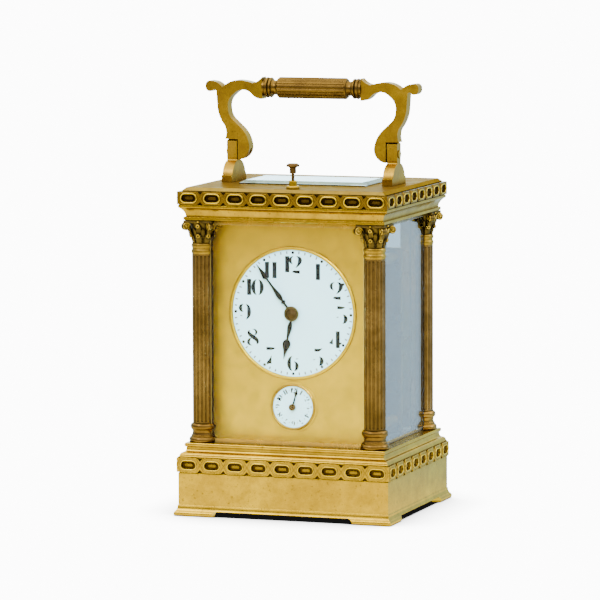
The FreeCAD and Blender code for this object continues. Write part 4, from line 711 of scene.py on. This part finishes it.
def dial_trims():
    """The slim raised rims round both dials, and the turned cap on the end of the centre arbor."""
    turned_trim(
        "main_dial_bezel", DIAL_CENTRE, MASK_FACE, MAIN_BEZEL, 96, "case", "gilt_mask")
    turned_trim(
        "alarm_dial_bezel", ALARM_CENTRE, MASK_FACE, ALARM_BEZEL, 64, "case", "handle_brass")
    turned_trim(
        "centre_boss_rim", DIAL_CENTRE, BOSS_FRONT, BOSS_RIM, 40, "centre", "boss_bronze")
    turned_trim(
        "centre_boss_core", DIAL_CENTRE, BOSS_FRONT, BOSS_CORE, 32, "centre", "boss_centre")


# ---------------------------------------------------------------- frieze trims
FRIEZE_UNITS = (9, 8)           # along X and along Y
POCKET_HALF_LENGTH = 3.6
POCKET_HALF_HEIGHT = 1.95
RIM_SECTION = (0.7, 0.3)        # width and height of a pocket's rim
RIDGE_SECTION = (0.34, 0.14)    # and of the ridges between the pockets
RIDGE_TIP_GAP = 0.12            # from a ridge's tip to the edge of its unit
RIDGE_SLOPE = 1.65              # length of a ridge's sloping end along the band
RIDGE_MARGIN = 0.4              # from a ridge to the edge of the band
CORNICE_LEDGE = 0.3             # plain strip under the units of the cornice's band
# Section of a rail: the share of its width from the middle line, and if that corner is on its top. The
# other corners are a little inside the metal.
RAIL_SECTION = ((0.5, False), (0.28, True), (-0.28, True), (-0.5, False))
RAIL_SUNK = 0.1


def rail(mesh, outline, section, place):
    """A raised rail along a closed outline (u, v), with a flat-topped section. place maps (u, v, out)."""
    width, height = section
    rings = []
    count = len(outline)
    for index, (u, v) in enumerate(outline):
        back = Vector(outline[index - 1]) - Vector((u, v))
        ahead = Vector(outline[(index + 1) % count]) - Vector((u, v))
        back.normalize()
        ahead.normalize()
        bisector = Vector((back.y - ahead.y, ahead.x - back.x))
        bisector.normalize()
        across = abs(bisector.x * ahead.y - bisector.y * ahead.x)
        reach = bisector / max(across, 0.5)
        ring = []
        for share, raised in RAIL_SECTION:
            out = height if raised else -RAIL_SUNK
            ring.append(place(u + reach.x * width * share, v + reach.y * width * share, out))
        rings.append(ring)
    mesh.loft(rings, closed=True)


def stadium(middle_u, middle_v, half_length, half_height, steps=7):
    """A closed outline with round ends."""
    outline = []
    straight = half_length - half_height
    for side in (1, -1):
        for step in range(steps + 1):
            turn = math.pi * (step / steps - 0.5)
            outline.append((
                middle_u + side * (straight + half_height * math.cos(turn)),
                middle_v + side * half_height * math.sin(turn)))
    return outline


def frieze_trim(node, ledge, ridge_finish):
    """Raised rims round the pockets of a frieze, and the ridges that meet in a cross between them."""
    low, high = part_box(node)
    top = high.z / MM
    band_low = low.z / MM + ledge
    middle_z = (band_low + top) / 2
    rise = (top - band_low) / 2 - RIDGE_MARGIN
    rims = Mesh()
    ridges = Mesh()
    for axis, count in enumerate(FRIEZE_UNITS):
        half = high[axis] / MM
        face = high[1 - axis] / MM
        unit = 2 * half / count
        end = unit / 2 - RIDGE_TIP_GAP
        flat = end - RIDGE_SLOPE
        for side in (-1, 1):
            def place(u, v, out):
                distance = side * (face + out)
                return (u, distance, v) if axis == 0 else (distance, u, v)
            for index in range(count):
                u = -half + unit * (index + 0.5)
                pocket = stadium(u, middle_z, POCKET_HALF_LENGTH, POCKET_HALF_HEIGHT)
                rail(rims, pocket, RIM_SECTION, place)
                ridge = [
                    (u - end, middle_z), (u - flat, middle_z - rise), (u + flat, middle_z - rise),
                    (u + end, middle_z), (u + flat, middle_z + rise), (u - flat, middle_z + rise)]
                rail(ridges, ridge, RIDGE_SECTION, place)
    rims.piece(node + "_rims", "case", "gilt_trim")
    ridges.piece(node + "_ridges", "case", ridge_finish, smooth=False)


# ---------------------------------------------------------------- column capitals
# Heights count from the underside of the capital, and radii from the axis of its column.
BELL = ((4.2, 0.0), (4.25, 1.2), (4.3, 3.0), (4.5, 5.2), (5.0, 7.0), (5.6, 8.4), (5.6, 8.8))
# Leaves: (radius, height, half width) from root to tip.
LOW_LEAF = ((4.25, 0.1, 1.35), (4.6, 1.5, 1.6), (4.95, 2.8, 1.45), (5.5, 3.6, 1.0), (5.85, 3.1, 0.55))
SMALL_LEAF = ((4.35, 1.8, 0.9), (4.8, 4.0, 1.15), (5.3, 5.4, 0.85), (5.8, 5.9, 0.35))
HIGH_LEAF = ((4.4, 3.0, 0.9), (4.9, 5.2, 1.35), (5.5, 7.0, 1.3), (6.0, 7.6, 0.9), (6.2, 7.2, 0.5))
LEAF_THICK = 0.42
SMALL_LEAF_THICK = 0.36
# Section of a leaf: share of the half width, share of the thickness. A rib runs up the middle.
LEAF_SECTION = (
    (-1, -0.25), (-0.55, 0.55), (-0.2, 0.25), (0, 0.9), (0.2, 0.25), (0.55, 0.55), (1, -0.25),
    (0.5, -0.7), (-0.5, -0.7))
LOW_TIP = (5.75, 3.1, 0.25)     # ring at a low leaf's tip: radius, height, how much its axis dips
HIGH_TIP = (6.15, 7.3, 0.2)
TIP_RING = (0.62, 0.29)         # radius of the ring, radius of its wire
FLOWER = (5.75, 9.1, 0.6)       # bead in the middle of each side: radius, height, its own radius
CORNER_BEAD = (6.1, 4.9, 0.55)
LONG_SCROLL = (7.95, 1.7)       # distance of its axis from the column, radius
SHORT_SCROLL = (6.9, 1.5)       # on the inner corners, clear of the mask, the glasses and the door
SCROLL_HEIGHT = 7.1
SCROLL_SECTION = ((-1.1, 0.8), (-0.95, 0.96), (0, 0.86), (0.95, 0.96), (1.1, 0.8))
# Abacus: how much each ring grows, and its height. Its sides are hollow between the corners.
ABACUS = ((-0.35, 8.5), (0.0, 8.75), (0.0, 9.25), (-0.2, 9.35), (0.05, 9.6), (0.05, 9.68))
ABACUS_HALF = 6.7
ABACUS_WAIST = 5.6
ABACUS_SHARES = (-0.92, -0.6, -0.3, 0.0, 0.3, 0.6, 0.92)
UP = Vector((0.0, 0.0, 1.0))


def outward(turn):
    """The direction away from a column's axis, turned from the front."""
    return Vector((math.sin(turn), -math.cos(turn), 0.0))


def sideways(turn):
    """The direction across outward(turn)."""
    return Vector((math.cos(turn), math.sin(turn), 0.0))


def leaf(mesh, turn, low, spine, thick=LEAF_THICK):
    """An acanthus leaf on a bell: a curled, ribbed strip along a spine."""
    line = smooth_line([(radius, low + height, half) for radius, height, half in spine], 4)
    out = outward(turn)
    side = sideways(turn)
    rings = []
    for index, (radius, z, half) in enumerate(line):
        before = line[max(index - 1, 0)]
        after = line[min(index + 1, len(line) - 1)]
        way = Vector((after[0] - before[0], after[1] - before[1]))
        way.normalize()
        face = out * way.y - UP * way.x
        lobe = half * (1 + 0.16 * math.sin(index * 1.9))
        centre = out * radius + UP * z
        rings.append([
            centre + side * (across * lobe) + face * (lift * thick) for across, lift in LEAF_SECTION])
    mesh.loft(rings)


def leaf_tip(mesh, turn, low, tip):
    """The small gilt ring at a leaf's tip."""
    radius, height, dip = tip
    out = outward(turn)
    mesh.torus(out * radius + UP * (low + height), out - UP * dip, *TIP_RING)


def scroll(dark, bright, turn, size, z):
    """A corner scroll: a stalk from the bell, rolled into a spiral with an eye on each face."""
    reach, radius = size
    out = outward(turn)
    side = sideways(turn)
    centre = out * reach + UP * z
    body = []
    for across, share in SCROLL_SECTION:
        body.append([
            centre + side * across + out * (radius * share * math.cos(TURN * k / 20))
            + UP * (radius * share * math.sin(TURN * k / 20)) for k in range(20)])
    dark.loft(body)
    foot = out * 4.4 + UP * (z - 5.0)
    knee = out * (reach - radius - 0.3) + UP * (z - 2.2)
    top = out * (reach - radius + 0.15) + UP * (z + 0.2)
    stalk = [Vector(point) for point in smooth_line([tuple(foot), tuple(knee), tuple(top)], 5)]
    dark.tube(stalk, lambda share: 0.65 + 0.3 * share, 8)
    for face in (-1, 1):
        spiral = []
        for step in range(27):
            share = step / 26
            angle = math.pi * (0.95 - 3.1 * share)
            coil = radius * (1.0 - 0.68 * share)
            spiral.append(
                centre + side * (face * (1.0 + 0.25 * share)) + out * (coil * math.cos(angle))
                + UP * (coil * math.sin(angle)))
        bright.tube(spiral, lambda share: 0.3 - 0.08 * share, 7)
        bright.ball(centre + side * (face * 1.2), 0.48)


def abacus(mesh, low):
    """The thin slab on top of a capital, hollow-sided and cut off at its corners."""
    rings = []
    for grow, height in ABACUS:
        ring = []
        for k in range(4):
            for share in ABACUS_SHARES:
                depth = ABACUS_WAIST + 1.1 * share * share + grow
                point = Vector((ABACUS_HALF * share, -depth, low + height))
                point.rotate(Matrix.Rotation(TURN * k / 4, 3, "Z"))
                ring.append(point)
        rings.append(ring)
    mesh.loft(rings)


def capital(dark, bright, place, long_scrolls):
    """One capital on the column at place. long_scrolls says which corners have a long scroll."""
    starts = (len(dark.points), len(bright.points))
    low = CAPITAL_LOW / MM
    dark.loft([
        [Vector((radius * math.cos(TURN * k / 32), radius * math.sin(TURN * k / 32), low + height))
         for k in range(32)]
        for radius, height in BELL])
    for index in range(8):
        turn = TURN * index / 8
        leaf(dark, turn, low, LOW_LEAF)
        leaf_tip(bright, turn, low, LOW_TIP)
        leaf(dark, turn + TURN / 16, low, SMALL_LEAF, SMALL_LEAF_THICK)
    for index in range(4):
        turn = TURN * index / 4
        leaf(dark, turn, low, HIGH_LEAF)
        leaf_tip(bright, turn, low, HIGH_TIP)
        radius, height, bead = FLOWER
        bright.ball(outward(turn) * radius + UP * (low + height), bead, squash=0.8)
    for index, is_long in enumerate(long_scrolls):
        turn = TURN * (index + 0.5) / 4
        scroll(dark, bright, turn, LONG_SCROLL if is_long else SHORT_SCROLL, low + SCROLL_HEIGHT)
        radius, height, bead = CORNER_BEAD
        bright.ball(outward(turn) * radius + UP * (low + height), bead)
    abacus(dark, low)
    for mesh, start in zip((dark, bright), starts):
        mesh.points[start:] = [(x + place[0], y + place[1], z) for x, y, z in mesh.points[start:]]


def capitals():
    """The four capitals: a dark body, with gilt scroll rims and leaf tips."""
    dark = Mesh()
    bright = Mesh()
    for sx in (-1, 1):
        for sy in (-1, 1):
            long_scrolls = []
            for cx, cy in ((1, -1), (1, 1), (-1, 1), (-1, -1)):
                long_scrolls.append(cx == sx or (sy < 0 and cy < 0))
            capital(dark, bright, (sx * COLUMN_X / MM, sy * COLUMN_Y / MM), long_scrolls)
    body = dark.piece("capital_leaves", "case", "capital_bronze")
    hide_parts("column_capitals")
    bright.piece("capital_gilding", "case", "capital_gilt")


paint_cad_nodes()
main_dial_print()
alarm_dial_print()
dial_trims()
frieze_trim("base_frieze", 0.0, "gilt_case")
# The cornice's ridges take the darker gilt of painted shade.
frieze_trim("cornice_frieze", CORNICE_LEDGE, "cornice_ridge_painted_shade")
capitals()


# ---------------------------------------------------------------- floor, light and camera
# Radiance in linear light. The camera sees the studio as white, and metal and glass see it dimmer, so
# that the brass keeps its depth against a white background.
CAMERA_WHITE = 12.0
FLOOR_NEAR = (2.9, 2.75, 1.15)
FLOOR_FAR = (0.5, 0.47, 0.38)
AROUND_FRONT = (0.55, 0.52, 0.50)
AROUND_BEHIND = (1.15, 1.6, 1.95)
OVERHEAD = (3.6, 3.5, 2.4)
FLOOR_HALF = 15.0
CONTACT_REACH = 0.03            # how far the clock's contact shadow spreads

CAMERA_AT = (0.62906, -1.82104, 0.29822)
CAMERA_AIM = (-0.00632, 0.0, 0.08967)
CAMERA_ROLL = -0.20             # degrees
CAMERA_LENS = 270.0


def make_floor():
    """A wide white floor with a soft contact shadow. Reflections see it fade away from the clock."""
    corners = [
        (x * FLOOR_HALF, y * FLOOR_HALF, 0.0) for x, y in ((-1, -1), (1, -1), (1, 1), (-1, 1))]
    data = bpy.data.meshes.new("studio_floor")
    data.from_pydata(corners, [], [(0, 1, 2, 3)])
    shade = Shade("pale_floor")
    contact = shade.ramp(shade.crevice(CONTACT_REACH, 32), 0.36, 0.95, 0.01, CAMERA_WHITE)
    seen = shade.add("ShaderNodeEmission", Color=(1.0, 1.0, 1.0), Strength=contact).outputs[0]
    distance = shade.add("ShaderNodeVectorMath", {"operation": "LENGTH"})
    shade.feed(distance.inputs[0], shade.place)
    near = shade.ramp(distance.outputs["Value"], 0.35, 1.5, 1.0, 0.0)
    split = shade.add("ShaderNodeSeparateXYZ", Vector=shade.place)
    behind = shade.ramp(split.outputs["Y"], -0.05, 0.12)
    glow = shade.mix(behind, shade.mix(near, FLOOR_FAR, FLOOR_NEAR), AROUND_BEHIND)
    reflected = shade.add("ShaderNodeEmission", Color=glow, Strength=1.0).outputs[0]
    data.materials.append(shade.finish(shade.blend(shade.ray("Is Camera Ray"), reflected, seen)))
    floor = bpy.data.objects.new("studio_floor", data)
    bpy.context.scene.collection.objects.link(floor)


def make_world():
    """A room that is dim in front, pale blue behind and bright overhead."""
    world = bpy.data.worlds.new("studio")
    bpy.context.scene.world = world
    shade = Shade("studio", world)
    split = shade.add("ShaderNodeSeparateXYZ", Vector=shade.place)
    level = shade.mix(shade.ramp(split.outputs["Y"], -0.4, 0.5), AROUND_FRONT, AROUND_BEHIND)
    sky = shade.mix(shade.ramp(split.outputs["Z"], 0.28, 0.6), level, OVERHEAD)
    reflected = shade.add("ShaderNodeBackground", Color=sky).outputs[0]
    seen = shade.add("ShaderNodeBackground", Color=(0.8, 0.8, 0.8), Strength=CAMERA_WHITE).outputs[0]
    shade.finish(shade.blend(shade.ray("Is Camera Ray"), reflected, seen), "ShaderNodeOutputWorld")


def softbox(name, at, aim, size, strength, colour=(1.0, 1.0, 1.0), mirrored=True):
    """A square area light of a given radiance, aimed at a point. mirrored says if metal reflects it."""
    data = bpy.data.lights.new(name, "AREA")
    data.shape = "SQUARE"
    data.size = size
    data.energy = strength * math.pi * size * size
    data.color = colour
    light = bpy.data.objects.new(name, data)
    light.location = at
    light.rotation_euler = (Vector(aim) - Vector(at)).to_track_quat("-Z", "Y").to_euler()
    light.visible_camera = False
    light.visible_glossy = mirrored
    bpy.context.scene.collection.objects.link(light)


def make_lights():
    """A key light, a cool fill for the dials, a strip that the top glass mirrors, and a rim light."""
    softbox("key_light", (-1.1, -1.5, 1.7), (0, 0, 0.1), 0.8, 7.0)
    softbox("dial_light", (0.5, -1.6, 0.9), (0, 0, 0.08), 1.0, 26.0, (0.9, 0.96, 1.16), mirrored=False)
    softbox("top_glass_strip", (-0.52, 1.5, 0.33), (0, 0, 0.14), 0.5, 4.5, (0.62, 0.92, 1.0))
    softbox("rim_light", (1.7, 0.6, 0.9), (0, 0, 0.1), 0.8, 4.0)


def make_camera():
    """The camera of the main view."""
    data = bpy.data.cameras.new("camera")
    data.sensor_width = 36.0
    data.lens = CAMERA_LENS
    data.clip_end = 60.0
    camera = bpy.data.objects.new("camera", data)
    at = Vector(CAMERA_AT)
    look = (Vector(CAMERA_AIM) - at).to_track_quat("-Z", "Y").to_matrix()
    roll = Matrix.Rotation(math.radians(CAMERA_ROLL), 3, "Z")
    camera.matrix_world = Matrix.Translation(at) @ (look @ roll).to_4x4()
    bpy.context.scene.collection.objects.link(camera)
    bpy.context.scene.camera = camera


make_floor()
make_world()
make_lights()
make_camera()
